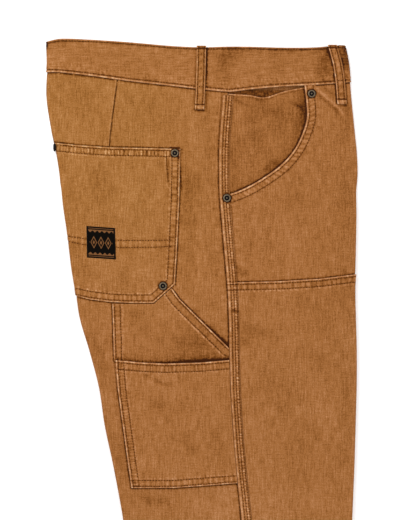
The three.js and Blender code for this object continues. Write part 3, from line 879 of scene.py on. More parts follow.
def label_finish(name, width, height):
    """A black damask ground with tan lozenges between two toothed borders."""
    f = Finish(name)
    f.surface.inputs["Specular IOR Level"].default_value = 0.05
    u, v = f.places()
    across, down = u / width - 0.5, v / height + 0.5
    teeth = (across * 38).sine() * 0.028
    border = (down.size() - teeth).above(0.345) * (1 - down.size().above(0.40))
    line = down.size().above(0.435) * (1 - down.size().above(0.452))
    row = (across * 4 + 0.5).fraction() - 0.5
    lozenge = row.size() + down.size() * 2.3
    rings = lozenge.above(0.34) * (1 - lozenge.above(0.46)) + (1 - lozenge.above(0.16))
    inside = (1 - across.size().above(0.40)) * (1 - down.size().above(0.30))
    figure = (border + line) * (1 - across.size().above(0.44)) + rings * inside
    fade = figure * (0.72 + f.noise(u * 2600, v * 2600) * 0.7)
    colours = {"Factor": fade, MIX_FIRST: (*linear(9, 6, 3), 1), MIX_SECOND: (*linear(136, 90, 52), 1)}
    colour = f.node("ShaderNodeMix", {"data_type": "RGBA"}, colours, MIX_RESULT)
    relief = f.bump(f.weave(u, v, LABEL_WEAVE) * 0.6 + figure, 0.00015)
    return f.put(Base_Color=colour, Roughness=0.8 - figure * 0.1, Normal=relief)


DUCK = duck_cloth("duck")
# A darker copy of the duck, painted with the shade inside the pocket's mouth
DUCK_SHADED_INSIDE = duck_cloth("duck_shaded_in_the_pocket", tone=0.45)
DUCK_CROSSWISE = duck_cloth("duck_cut_crosswise", crosswise=True)
THREAD = thread_finish("dark_brown_thread", linear(52, 21, 4), linear(96, 48, 14))
LABEL_THREAD = thread_finish("black_thread", linear(14, 11, 9), linear(36, 30, 26))
GUNMETAL = metal_finish("aged_gunmetal", linear(64, 53, 40), linear(134, 116, 92), 0.32, 0.8)
# Dark metal: blackened in the rivets' recesses and rims, and painted shade on the rivet in the fold
BLACKENED_AND_SHADED = metal_finish("blackened_and_shaded_metal", linear(2, 2, 2), linear(9, 7, 6), 0.7, 0.0)

# Seams and edges, traced down or to the right
SEAM_LINE = np.array([(seam_at(d), d) for d in range(64, 1010, 12)], float)
FELL_HALF = 6.5
FELL_LEFT = 5.7
FELL_ROWS = (-1.6, 1.6, 5.0)
BACK_POCKET_TOP = np.array([
    (-200, 123), (-170, 125.4), (-147, 128), (-111, 130.4), (-60, 131.4), (-26, 132.4),
])
BACK_POCKET_SIDE = np.array([(-26, 132.4), (-27.2, 194), (-30, 254), (-32.4, 294.6)])
BACK_POCKET_BOTTOM = np.array([
    (-200, 300), (-151, 309.6), (-135, 313.2), (-111, 316.2), (-87, 317.4), (-58, 317.4), (-32.4, 294.6),
])
POCKET_EDGE = np.concatenate([BACK_POCKET_SIDE, BACK_POCKET_BOTTOM[-2::-1]])
SLANT_MOUTH = np.array([(-36.5, 299.4), (-27, 312.6), (-3, 336.6), (32.4, 371.4)])
SLANT_SIDE = np.array([(-107.6, 318.4), (-105.6, 386)])
TOOL_TOP = np.array([(-103.6, 385.8), (-75, 388.6), (-45, 390), (-3, 388.8), (32.8, 385.8)])
TOOL_SIDE = np.array([(-103.6, 385.8), (-100.8, 422), (-91.8, 488), (-84.6, 539.4)])
TOOL_BOTTOM = np.array([(-84.6, 539.4), (-33, 539.2), (3, 536.6), (42.4, 533.6)])
TOOL_INNER_SIDE = np.array([(32.8, 385.8), (33.8, 420), (36.3, 464), (42.4, 533.6)])
KNEE_TOP = np.array([(34, 292.7), (93, 291.3), (141, 288.3), (165, 285.3), (200, 281.1)])
KNEE_ON_FELL = np.array([(seam_at(292.7) - 7, 292.9), (seam_at(292.7) + 9, 292.7)])
KNEE_START = 292.0
KNEE_BOTTOM = 806.0
KNEE_END = np.array([(60.0, KNEE_BOTTOM), (220.0, KNEE_BOTTOM)])
SCOOP_EDGE = SCOOP[:, ::-1].astype(float)
SCOOP_LINE = evenly(SCOOP_EDGE, 6.0)
COIN_MOUTH = np.array([
    (31, 66), (57, 67.6), (72, 70.4), (80, 69.4), (93, 64.8), (105, 61.6), (123, 58.4),
])
WAIST_SEAM_LINE = WAIST[:, [0, 2]].astype(float)
WAIST_TOP_LINE = WAIST[:, [0, 1]].astype(float)
DART = traced((117, 80), (114, 102), (111, 125), (109, 146))
LABEL_CORNERS = np.array([(-138.6, 225), (-104.4, 227.4), (-138, 262.8), (-103.2, 265.2)])

# Belt loops: the middle of each place along the strap, as drop, across and the height it stands on
SIDE_LOOP = np.array([
    (8.4, -0.6, 1.5), (36, -1.1, 1.6), (61.5, -1.9, 1.5), (68, -2.1, 0.7), (79, -2.7, 0.4), (85, -2.9, 0.4),
])
FRONT_LOOP = np.array([
    (7.4, 156.6, 1.5), (22, 160.8, 1.6), (34, 163.6, 1.6), (54.5, 166.4, 1.5), (61, 167, 0.7),
    (72, 167.8, 0.4), (78.5, 168.4, 0.4),
])
LOOP_HALF = 5.6
LOOP_THICK = 1.8
LOOP_ROW = 3.4
LOOP_TOP_TACK = 3.4
LOOP_END_TACK = 5.6


def loop_line(strap, offset):
    """A line down a belt loop, at a distance from its middle."""
    drops = np.linspace(strap[0, 0], strap[-1, 0], 24)
    return np.column_stack([curved(strap, 1, drops) + offset, drops])


def loop_shadows(surface):
    """The dark lines on the cloth beside the two belt loops."""
    for strap, left_shade, right_shade in ((SIDE_LOOP, 0.6, 2.0), (FRONT_LOOP, 1.7, 0.7)):
        for side, shade in ((-1, left_shade), (1, right_shade)):
            surface.ridge(loop_line(strap, side * (LOOP_HALF + 0.5)), 0, 1.0, 0, shade=shade)
        end = loop_line(strap, 0)[-1]
        surface.ridge(np.array([end - (4.6, -0.4), end + (4.6, 0.4)]), 0, 1.0, 0, shade=1.5)


RIVET_PLACES = {
    "rivet_back_pocket_top": (-32.6, 137.4),
    "rivet_back_pocket_corner": (-46.8, 297.0),
    "rivet_scoop_top": (131.8, 66.0),
    "rivet_scoop_bottom": (30.0, 191.4),
}


def rivet_shadows(surface):
    """The dark rings on the cloth round the rivets."""
    for across, drop in RIVET_PLACES.values():
        away = np.hypot(surface.across - across, surface.drop - drop)
        surface.shaded += 1.2 * bell(away - 5.0, 1.0)


# Rows of stitches, as distances in from the turned edges
WAIST_TOP_ROW = 2.4
WAIST_SEAM_ROW = 3.0
POCKET_TOP_ROWS = (2.4, 9.6)
POCKET_ROWS = (2.4, 9.6)
SLANT_ROWS = (2.2, 10.2)
SLANT_SIDE_ROWS = (2.6, 9.4)
TOOL_TOP_ROWS = (2.4, 10.4)
TOOL_SIDE_ROWS = (2.6, 9.4)
TOOL_BOTTOM_ROWS = (2.0, 9.2)
KNEE_TOP_ROWS = (2.4, 9.2)
KNEE_END_ROWS = (1.9, 9.0)
SCOOP_ROWS = (2.4, 9.8)


# Leg panels: the steps of their grids, and the level down to which their rows lean to the waist
FACE_STEP = 3.3
CURL_STEPS = 12
RETURN_STEPS = 8
LEVEL = 94.0
LEG_END = LENGTH - UPPER_LEG_SHORTER


def level_line(drop):
    """A line across the whole garment."""
    return np.array([(-400.0, drop), (400.0, drop)])


def return_length(side, drop):
    """How far the inner leg's cloth runs back from the fold: to the crotch curve or the inseam."""
    to_inseam = abs(seam_at(drop) - Fold(side, drop, True).start) - GAP / 2
    down = np.clip((drop - CROTCH_DROP + CROTCH_RISE) / CROTCH_RISE, 0, 1)
    return to_inseam * (1 - np.sqrt(1 - down * down))


def panel_place(side, start, drop, column):
    """The place of a column: 0 to 1 on the face, to 2 round the fold and to 3 back to the inseam."""
    f = Fold(side, drop, True)
    face = mix(start, f.start, np.minimum(column, 1))
    curl = f.curl * np.clip(column - 1, 0, 1)
    return face + side * (curl + return_length(side, drop) * np.clip(column - 2, 0, 1))


def leg_panel(side, width, face_zones, down_zones):
    """The surface of a panel of the upper leg from the waist seam to the hem, with finer steps in
    zones across its face and down it."""
    top = SCOOP[0, 0] if side > 0 else waist_seam(seam_at(0))
    face = spaced(width, FACE_STEP, lips=(True, False), zones=face_zones)
    curl = np.linspace(1, 2, CURL_STEPS + 1)[1:]
    back = np.linspace(2, 3, RETURN_STEPS + 1)[1:]
    column = np.concatenate([face, curl, back])[None, :]
    upper_rows = mix(top, LEVEL, spaced(LEVEL - top, 2.2, 1.1, 6.0, lips=(True, False)))
    below = [(first - LEVEL, last - LEVEL, step) for first, last, step in down_zones]
    lower_share = spaced(LEG_END - LEVEL, FACE_STEP, lips=(False, True), zones=below)
    lower_rows = mix(LEVEL, LEG_END, lower_share)
    nominal = np.concatenate([upper_rows, lower_rows[1:]])[:, None]
    scooped = (side > 0) & (nominal < SCOOP[-1, 0])
    start = np.where(scooped, scoop_at(nominal), seam_at(nominal) + side * GAP / 2)
    place = panel_place(side, start, nominal, column)
    first = waist_seam(place) + SEAM_GAP
    share = np.clip((nominal - top) / (LEVEL - top), 0, 1)
    drop = np.where(nominal < LEVEL, mix(first, LEVEL, share), nominal)
    surface = Surface(panel_place(side, start, drop, column), drop, -CLOTH, 0)
    surface.round_edges("l" if side > 0 else "")
    # Beside the seams the cloth is drawn in a little, with painted shadow beside the waistband and the fell,
    # and the hem is turned up and sewn, with a painted shadow at its edge
    surface.under_edge(WAIST_SEAM_LINE, -1)
    surface.puckers(SEAM_LINE, *sorted((side * 6, side * 18)), 9.0, 0.16, 21, wear_and_light=0.16, soft=4)
    beside_seam = FELL_HALF if side > 0 else FELL_LEFT
    surface.ridge(SEAM_LINE, side * (beside_seam + 0.6), 1.0, -0.15, shade=1.1 if side < 0 else 0.4)
    hem_line = level_line(LEG_END - HEM_DEPTH)
    on_face = column <= 1
    distance, way = surface.beside(hem_line)
    hem = smooth(-distance / 1.2) * on_face
    wave = uneven(way + 0.6 * distance, 6.0, 31) * smooth(-distance / 2) * on_face
    surface.high += hem * 0.6 + 0.25 * wave * smooth((13 + distance) / 2)
    surface.worn += 0.35 * np.maximum(wave, 0) * hem + 0.6 * smooth(-distance - HEM_ROW) * on_face
    surface.shaded += 0.35 * bell(distance + 0.2, 1.0) * on_face
    return surface


BACK_FACE_ZONES = [(5, 12, 1.1), (58, 82, 1.2), (162, 196, 1.2)]
BACK_DOWN_ZONES = [(120, 136, 1.2), (296, 322, 1.3), (322, 376, 1.8), (534, 546, 1.2), (1005, 1014, 1.2)]
back_panel = leg_panel(-1, 218, BACK_FACE_ZONES, BACK_DOWN_ZONES)
back_panel.under_edge(BACK_POCKET_TOP, 1)
loop_shadows(back_panel)
back_panel.under_edge(POCKET_EDGE, 1)
back_panel.under_edge(SLANT_MOUTH, 1, 0.6)
# Painted shadow beside the lower end of the slanted pocket's gaping mouth
distance, way = back_panel.beside(SLANT_MOUTH)
back_panel.shaded += 1.2 * bell(distance - 1.2, 2.2) * smooth((way - 48) / 42)
back_panel.under_edge(SLANT_SIDE, -1)
back_panel.under_edge(TOOL_SIDE, -1)
back_panel.under_edge(TOOL_BOTTOM, -1)
right_back = back_panel.build("right_back_panel", DUCK)
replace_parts(right_back, "right_back")

FRONT_FACE_ZONES = [(5, 12, 1.0), (12, 60, 2.2)]
FRONT_DOWN_ZONES = [(94, 276, 2.2), (276, 296, 1.1), (800, 812, 1.2), (1005, 1014, 1.2)]
front_panel = leg_panel(1, 154, FRONT_FACE_ZONES, FRONT_DOWN_ZONES)
front_panel.under_edge(KNEE_END, -1)
loop_shadows(front_panel)
front_panel.under_edge(KNEE_TOP, 1, 0.45)
front_panel.puckers(SCOOP_LINE, 10, 22, 9.0, 0.2, 25, wear_and_light=0.12, soft=4)
rivet_shadows(front_panel)
right_front = front_panel.build("right_front_panel", DUCK)
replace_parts(right_front, "right_front")


# The left half: its width in thousandths and its length below the hips, with finer steps in zones
LEFT_FACE_ZONES = [(395, 460, 3.8), (460, 600, 4.8)]
LEFT_DOWN_ZONES = [(54, 64, 1.3), (224, 250, 1.6), (938, 950, 1.6)]
LEFT_START = 70


def left_half():
    """The half folded under: one cloth at the hips and a rounded leg of two layers below."""
    lip, recess, mouth_rim, mouth_deep = 0.6, 0.6, 1.3, 30.0
    curl = np.linspace(1, 0, 9)[:-1]
    flat = spaced(1000, 13, lips=(False, False), zones=LEFT_FACE_ZONES)
    down = spaced(LENGTH - LEFT_START, 5.2, lips=(False, False), zones=LEFT_DOWN_ZONES)
    rows = np.concatenate([[0], mix(LEFT_START, LENGTH, down)])[:, None]
    columns = len(curl) * 2 + len(flat)
    rank = np.arange(columns)[None, :]
    is_left, is_right = rank < len(curl), rank >= len(curl) + len(flat)
    turn = np.concatenate([curl, np.zeros(len(flat)), curl[::-1]])[None, :]
    across_share = np.concatenate([np.zeros(len(curl)), flat, np.ones(len(curl))])[None, :]
    first = waist_seam(mix(-180, 176, across_share)) + SEAM_GAP
    drop = np.where(rows == 0, first, rows + 0 * rank)
    left, right = Fold(-1, drop, False), Fold(1, drop, False)
    place = mix(left.start, right.start, across_share)
    place = place - np.where(is_left, left.curl * turn, 0) + np.where(is_right, right.curl * turn, 0)
    bottom = Surface(place, drop, 0, 0, upper=False, draped=False)
    bottom.high -= recess
    for line, width, rise in CREASES:
        distance, way = bottom.beside(line)
        bottom.high -= 0.5 * abs(rise) * fade_at_ends(line, way) * bell(distance - 3, width)
    raised = np.exp(-((bottom.beside(SEAM_LINE)[0] / FELL_HALF) ** 6))
    bottom.high += 0.15 * raised
    bottom.worn += 0.3 * raised
    # This half's back pocket shows as a pale rubbed rim, with painted shadow outside it and a groove of
    # painted shade at its inner row
    for line, inward in ((BACK_POCKET_TOP, -1), (BACK_POCKET_SIDE, -1), (BACK_POCKET_BOTTOM, 1)):
        bottom.ridge(line, inward * 1.2, 1.5, 0.15, wear_and_light=0.5)
        bottom.ridge(line, -inward * 1.2, 1.8, -0.1, shade=0.4)
        bottom.ridge(line, inward * 9.6, 1.5, -0.1, shade=0.3)
    bottom.shelf(level_line(LENGTH - HEM_DEPTH), -40, 0, 0.15)
    bottom.high = np.minimum(bottom.high, 0)
    near_fold = np.minimum(place - left.start, right.start - place)
    bottom.high *= smooth(near_fold / 6)
    bottom.worn *= smooth(near_fold / 2)
    hips = cloth(place, drop, -CLOTH, False)
    f_share = np.where(across_share < 0.5, left.share, right.share)
    edge = np.where(across_share < 0.5, left.edge, right.edge)
    pile = leg_share(place, drop)
    hips_up = np.maximum(CLOTH, top_height(place, drop) - CLOTH - INSIDE_SLIT)
    flat_up = np.minimum(edge, mix(hips_up, edge, pile))
    curled = is_left | is_right
    folded_in = lip + 3.0 * (1 - turn)
    legs_left, legs_right = left.start + folded_in, right.start - folded_in
    legs_x = mix(legs_left, legs_right, across_share)
    top = hips.copy()
    top[..., 0] = mix(np.where(curled, hips[..., 0], place - MIDDLE_ACROSS), legs_x - MIDDLE_ACROSS, f_share)
    top[..., 2] = np.where(curled, mix(hips[..., 2], edge, f_share), flat_up)
    # The hem's end turns in, so the leg has a mouth
    end_bottom = cloth(place[-1:], drop[-1:], bottom.high[-1:], False)
    end_top = top[-1:].copy()
    for deep in (0.0, mouth_deep):
        for end, rim in ((end_bottom, mouth_rim), (end_top, -mouth_rim)):
            ring = end.copy()
            low_x, high_x = end_bottom[..., 0].min() + 4, end_bottom[..., 0].max() - 4
            ring[..., 0] = np.clip(ring[..., 0], low_x, high_x)
            ring[..., 1] += deep
            ring[..., 2] = np.clip(ring[..., 2] + rim, mouth_rim, end_top[..., 2].max() - mouth_rim)
            if end is end_bottom:
                lower_ring = ring
        top = np.concatenate([top, ring])
        bottom.across = np.concatenate([bottom.across, bottom.across[-1:]])
        bottom.drop = np.concatenate([bottom.drop, bottom.drop[-1:] - deep])
        bottom.worn = np.concatenate([bottom.worn, bottom.worn[-1:]])
        # The rings inside the leg's mouth are painted with shade
        bottom.shaded = np.concatenate([bottom.shaded, bottom.shaded[-1:] + 0.4])
        bottom.high = np.concatenate([bottom.high, bottom.high[-1:]])
        if deep == 0.0:
            rings = lower_ring
        else:
            rings = np.concatenate([rings, lower_ring])
    body = cloth(bottom.across[:-2], bottom.drop[:-2], bottom.high[:-2], False)
    outer = np.concatenate([body, rings])
    uv = (bottom.across * MM, -bottom.drop * MM)
    piece = wall("left_half", outer, top, uv, bottom.worn, bottom.shaded, DUCK)
    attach(piece, "root")
    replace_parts(piece, "left_half_folded_under")
    return piece, body


left, underside = left_half()


# Waistband
def waistband(upper, outside, inside):
    """A half of the waistband as a surface from its top to the seam under it, running on round both folds."""
    left, right = Fold(-1, WAIST_LEVEL, upper), Fold(1, WAIST_LEVEL, upper)
    turns = np.linspace(0, 1, 11)[1:]
    flat = np.linspace(left.start, right.start, 160)
    places = np.concatenate([left.start - left.curl * turns[::-1], flat, right.start + right.curl * turns])
    down = spaced(44, 1.6, 0.9, 9.0)[:, None]
    across = places[None, :] + 0 * down
    drop = mix(waist_top(across), waist_seam(across), down)
    return Surface(across, drop, inside, outside, upper, draped=upper)


band = waistband(True, CLOTH, -CLOTH)
band.ridge(WAIST_TOP_LINE, -0.9, 0.9, 0.0, wear_and_light=0.35)
band.ridge(WAIST_TOP_LINE, -WAIST_TOP_ROW, 0.95, -0.34, shade=0.8)
band.ridge(WAIST_SEAM_LINE, 0.9, 1.05, 0.3, wear_and_light=0.8)
band.ridge(WAIST_SEAM_LINE, WAIST_SEAM_ROW, 0.9, -0.34, shade=0.75)
band.puckers(WAIST_SEAM_LINE, 0, 7, 6.5, 0.14, 41, wear_and_light=0.25, skew=0.4)
band.puckers(WAIST_SEAM_LINE, 3.6, 13, 4.6, 0.16, 42, wear_and_light=0.24, skew=0.3, soft=2.5)
band.puckers(WAIST_SEAM_LINE, 6, 26, 12.0, 0.18, 44, wear_and_light=0.08, skew=0.3, soft=6)
band.puckers(WAIST_TOP_LINE, -12, 0, 9.0, 0.14, 43, wear_and_light=0.14, soft=3)
loop_shadows(band)
# Painted shade darkens the band's end at the top of the back fold
corner_shade = bell(band.drop - 7, 4) * smooth((-183.6 - band.across) / 1.0)
band.shaded += 1.8 * corner_shade
# The band sinks between the front loop and the fold, shown only with painted shade
band.shaded += 0.45 * bell(band.across - 148, 9) * bell(band.drop - 30, 22)
band.shaded += 0.7 * smooth((band.across - 164) / 6) * (1 - smooth((band.drop - 24) / 20))
# Painted shadow under the top of the front loop
under_loop = traced((329.4, 52.0))[0]
away = np.hypot((band.across - under_loop[0]) / 2.4, (band.drop - under_loop[1]) / 4.0)
band.shaded += 1.3 * bell(away, 1.0)
band.round_edges("tb", 0.7)
waistband_right = band.build("waistband_upper", DUCK_CROSSWISE)
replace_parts(waistband_right, "waistband_right")

# The button lies in a hollow of the lower half of the band
BUTTON_PLACE = np.array([158.0, 32.0])
BUTTON_ROOM = 10.5
lower_band = waistband(False, 0, -2 * CLOTH)
from_button = np.hypot(lower_band.across - BUTTON_PLACE[0], lower_band.drop - BUTTON_PLACE[1])
hollow = 1 - smooth((from_button - BUTTON_ROOM + 1.5) / 1.5)
lower_band.high -= 1.75 * hollow
lower_band.low -= 0.8 * hollow
lower_band.ridge(WAIST_TOP_LINE, -WAIST_TOP_ROW, 0.8, -0.25, shade=0.45)
lower_band.ridge(WAIST_SEAM_LINE, WAIST_SEAM_ROW, 0.8, -0.25, shade=0.45)
lower_band.worn += 0.4 * bell(lower_band.beside(WAIST_SEAM_LINE)[0] - 0.9, 0.9)
lower_band.round_edges("tb", 1.0)
waistband_left = lower_band.build("waistband_under", DUCK_CROSSWISE)
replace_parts(waistband_left, "waistband_left")

# Felled outseam with three rows of stitches, whose grooves are painted with shade, and a dark mark of painted
# shade at the corner of the slanted pocket
FELL_TOP = 68.0
FELL_MARK = 327.0
fell_down = mix(FELL_TOP, LEG_END - HEM_DEPTH - 2, spaced(940, 1.35))[:, None]
fell_offset = mix(-FELL_LEFT, FELL_HALF, spaced(FELL_LEFT + FELL_HALF, 0.72)[None, :])
fell = Surface(seam_at(fell_down) + fell_offset, fell_down, GAP, 1.9)
fell.known[id(SEAM_LINE)] = (fell_offset + 0 * fell_down, fell_down + 0 * fell_offset, SEAM_LINE)
fell.ridge(SEAM_LINE, -4.0, 0.85, 0.4, wear_and_light=0.72)
fell.ridge(SEAM_LINE, 0.0, 0.75, 0.1, wear_and_light=0.3)
fell.ridge(SEAM_LINE, 3.3, 0.75, 0.15, wear_and_light=0.4)
for row in FELL_ROWS:
    fell.ridge(SEAM_LINE, row, 0.8, -0.36, shade=0.55)
# The second layer of the leg runs on over the fell, with a painted shadow below its edge
for row in KNEE_TOP_ROWS:
    fell.ridge(KNEE_ON_FELL, -row, 0.85, -0.2, shade=0.7)
fell.ridge(KNEE_ON_FELL, -0.8, 1.05, 0.3, wear_and_light=0.6)
fell.ridge(KNEE_ON_FELL, 0.7, 0.9, -0.2, shade=0.8)
fell.puckers(SEAM_LINE, -5.8, -2.4, 7.5, 0.16, 51, wear_and_light=0.14, skew=0.5, soft=1)
fell.puckers(SEAM_LINE, -1.6, 1.6, 3.3, 0.2, 52, wear_and_light=0.45, skew=0.3, soft=0.8)
fell.puckers(SEAM_LINE, 1.7, 4.9, 3.2, 0.26, 53, wear_and_light=0.75, skew=-0.2, soft=0.8)
fell.high -= 0.45 * smooth((fell_offset - 4.6) / 1.8)
thick = np.exp(-(((fell_down - 306) / 16) ** 4)) * smooth((5 - abs(fell_offset)) / 2)
fell.high += 0.35 * thick
fell.shaded += 0.8 * bell(fell_down - FELL_MARK, 1.5) * smooth((fell_offset + 2.6) / 1.0)
rivet_shadows(fell)
fell.round_edges("lrtb", 1.0)
outseam = fell.build("outseam", DUCK)
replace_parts(outseam, "outseam_fell")

# Second layer on the front of the leg
knee_rows = spaced(KNEE_BOTTOM - 293, 2.4, 1.1, 14.0)[:, None]
knee_face = spaced(142, 1.9, 1.2, 5.0, lips=(True, False))
knee_curl = np.linspace(1, 1.5, 7)[1:]
knee_column = np.concatenate([knee_face, knee_curl])[None, :]


def beside_fell(drop):
    """Where the second layer starts, beside the fell."""
    return seam_at(drop) + FELL_HALF + GAP


def knee_places(column, share):
    """Places on the second layer, whose columns run as the leg panel's do."""
    nominal = mix(KNEE_START, KNEE_BOTTOM, share)
    for _ in range(2):
        f = Fold(1, nominal, True)
        place = mix(beside_fell(nominal), f.start, np.minimum(column, 1)) + f.curl * np.clip(column - 1, 0, 1)
        start = np.interp(place, KNEE_TOP[:, 0], KNEE_TOP[:, 1])
        nominal = mix(start, KNEE_BOTTOM, share)
    return place, nominal


knee = Surface(*knee_places(knee_column, knee_rows), POCKET_LOW, GAP + CLOTH)
plain_high = knee.high.copy()
knee.turned_edge(KNEE_TOP, -1, KNEE_TOP_ROWS, 61, pitch=6.2, gather=0.7)
knee.turned_edge(KNEE_END, 1, KNEE_END_ROWS, 63, pitch=6.2, gather=0.7)
knee.puckers(KNEE_TOP, -34, -11, 10.0, 0.2, 65, wear_and_light=0.07, soft=6)
knee.high = mix(knee.high, plain_high, smooth((knee_column - 1) / 0.2))
knee.round_edges("tb")
knee_panel = knee.build("front_second_layer", DUCK)
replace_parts(knee_panel, "front_knee_panel")


# Front pocket: its facing, the coin pocket and the turned scoop edge
def pocket_sag(across, drop):
    """How far the cloth in the scoop sinks below the panel, most beside the upper mouth."""
    edge = scoop_at(np.clip(drop, SCOOP[0, 0], SCOOP[-1, 0]))
    beside_mouth = bell(across - edge + 6, 9) * bell(drop - 86, 22)
    middle = bell(across - 84, 34) * bell(drop - 108, 34)
    return -1.0 * beside_mouth - 0.4 * middle


facing_down = np.linspace(62, 204, 60)[:, None]
facing_left = seam_at(facing_down) + GAP
facing_right = np.maximum(scoop_at(facing_down), facing_left) + 22
facing_across = mix(facing_left, facing_right, np.linspace(0, 1, 50)[None, :])
facing = Surface(facing_across, facing_down, -2 * CLOTH - GAP, -CLOTH - GAP)
facing.lift(pocket_sag(facing.across, facing.drop))
# The facing lies in the gap under the band, painted with shade all over
facing.shaded += 0.7
pocket_facing = facing.build("pocket_facing_cloth", DUCK_SHADED_INSIDE)
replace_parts(pocket_facing, "pocket_facing")

coin_share = spaced(92, 1.5)[None, :]
coin_nominal = mix(SCOOP[0, 0], 184.0, spaced(128, 1.5))[:, None]
coin_left = seam_at(coin_nominal) + GAP
coin_across = mix(coin_left, np.maximum(scoop_at(coin_nominal) + 1.5, coin_left + 2), coin_share)
coin_mouth = curved(COIN_MOUTH, 1, coin_across)
coin_start_share = np.clip((coin_nominal - SCOOP[0, 0]) / 30, 0, 1)
coin_drop = np.where(coin_nominal < 86, mix(coin_mouth, 86, coin_start_share), coin_nominal)
coin = Surface(coin_across, coin_drop, -CLOTH, -0.15)
coin.lift(pocket_sag(coin.across, coin.drop))
coin.ridge(COIN_MOUTH, -0.7, 1.0, 0.35, wear_and_light=0.95)
coin.ridge(COIN_MOUTH, -2.4, 0.9, -0.2, shade=0.45)
# Folds in the coin pocket, with painted shade in their hollows: a line, its width and its height
COIN_PUCKERS = [
    (traced((232, 96), (238, 101), (247, 105)), 1.8, -0.5),
    (traced((238, 99), (246, 104), (256, 105)), 2.2, 0.45),
    (traced((250, 96), (258, 100), (264, 101)), 1.8, -0.45),
    (traced((228, 100), (231, 110), (233, 122)), 2.6, -0.35),
    (traced((262, 108), (272, 112), (282, 111)), 3.4, -0.3),
    (traced((236, 118), (244, 132), (246, 150)), 5.0, 0.35),
    (traced((254, 124), (258, 142), (254, 162)), 6.0, -0.4),
    (traced((276, 122), (276, 140), (270, 156)), 6.0, 0.3),
    (traced((232, 150), (236, 168), (234, 184)), 4.0, -0.35),
]
for line, width, rise in COIN_PUCKERS:
    coin.ridge(line, 0, width, rise, both=True, shade=max(0, -rise) * 0.4)
# Painted shadow under the scoop's edge and painted shade inside its upper mouth
coin.ridge(SCOOP_LINE, -0.8, 1.4, 0, shade=1.15)
distance, way = coin.beside(SCOOP_LINE)
coin.shaded += 0.6 * bell(distance + 2, 8) * bell(way - 34, 22)
coin.shaded += 0.2 * bell(distance, 11)
coin.round_edges("t")
coin_pocket = coin.build("coin_pocket_cloth", DUCK_SHADED_INSIDE)
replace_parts(coin_pocket, "coin_pocket")


def ribbon(line, offsets, step, low, high):
    """A strip of cloth along a line, whose columns are at distances from it."""
    points = evenly(line, step)
    across_way = sideways(points)
    grid = points[:, None, :] + across_way[:, None, :] * np.array(offsets)[None, :, None]
    surface = Surface(grid[..., 0], grid[..., 1], low, high)
    ways = np.linspace(0, np.hypot(*np.diff(line, axis=0).T).sum(), len(points))
    shape = surface.across.shape
    surface.known[id(line)] = (
        np.broadcast_to(np.array(offsets), shape).copy(),
        np.broadcast_to(ways[:, None], shape).copy(),
        line,
    )
    return surface


scoop_offsets = np.concatenate([[-0.4, -0.2, 0.2], np.arange(0.8, 13.5, 0.75)])
scoop_band = ribbon(SCOOP_EDGE, scoop_offsets, 1.1, -0.9, -0.1)
scoop_band.shelf(SCOOP_EDGE, -0.6, 13.0, 0.75, soft=2.6)
scoop_band.ridge(SCOOP_EDGE, 0.7, 1.0, 0.25, wear_and_light=0.95)
for row in SCOOP_ROWS:
    scoop_band.ridge(SCOOP_EDGE, row, 0.8, -0.3, shade=0.65)
scoop_band.puckers(SCOOP_EDGE, 2.4, 9.8, 5.2, 0.24, 71, wear_and_light=0.45, skew=0.5, soft=1.4)
scoop_band.puckers(SCOOP_EDGE, 9.8, 13.4, 8.0, 0.1, 72, wear_and_light=0.2, soft=1.5)
rivet_shadows(scoop_band)
scoop_band.round_edges("l")
scoop_edge = scoop_band.build("scoop_turned_edge", DUCK)

# The back dart: a pale fold with a line of painted shade beside it
dart_offsets = np.array([-3.2, -2.4, -1.6, -1.0, -0.5, -0.15, 0.2, 0.6, 1.2, 2.0, 2.8])
dart = ribbon(DART, dart_offsets, 1.6, -0.8, -0.08)
dart.shelf(DART, -3.0, 0.15, 0.55, soft=1.2)
dart.ridge(DART, -0.9, 0.8, 0.1, wear_and_light=0.32)
dart.ridge(DART, 0.45, 0.7, -0.05, shade=1.5)
dart.shelf(DART, -3.2, 2.8, 0.12, soft=0.8)
dart_seam = dart.build("back_dart", DUCK)


def patch(top, bottom, left, right, shares_across, shares_down):
    """Places that fill four edges, the first two from left to right and the others downwards."""

    def read(line, share):
        lengths = np.concatenate([[0], np.cumsum(np.hypot(*np.diff(line, axis=0).T))])
        at = share * lengths[-1]
        return np.stack([np.interp(at, lengths, line[:, 0]), np.interp(at, lengths, line[:, 1])], axis=-1)

    s, t = shares_across[None, :, None], shares_down[:, None, None]
    upper, lower = read(top, shares_across)[None], read(bottom, shares_across)[None]
    start, end = read(left, shares_down)[:, None], read(right, shares_down)[:, None]
    upper_corners = (1 - s) * (1 - t) * top[0] + s * (1 - t) * top[-1]
    lower_corners = (1 - s) * t * bottom[0] + s * t * bottom[-1]
    grid = (1 - t) * upper + t * lower + (1 - s) * start + s * end - upper_corners - lower_corners
    return grid[..., 0], grid[..., 1]


def back_fold_edge(drop):
    """The place half way round the back fold, where the pocket's hidden edge is."""
    f = Fold(-1, drop, True)
    return f.start - 0.5 * f.curl


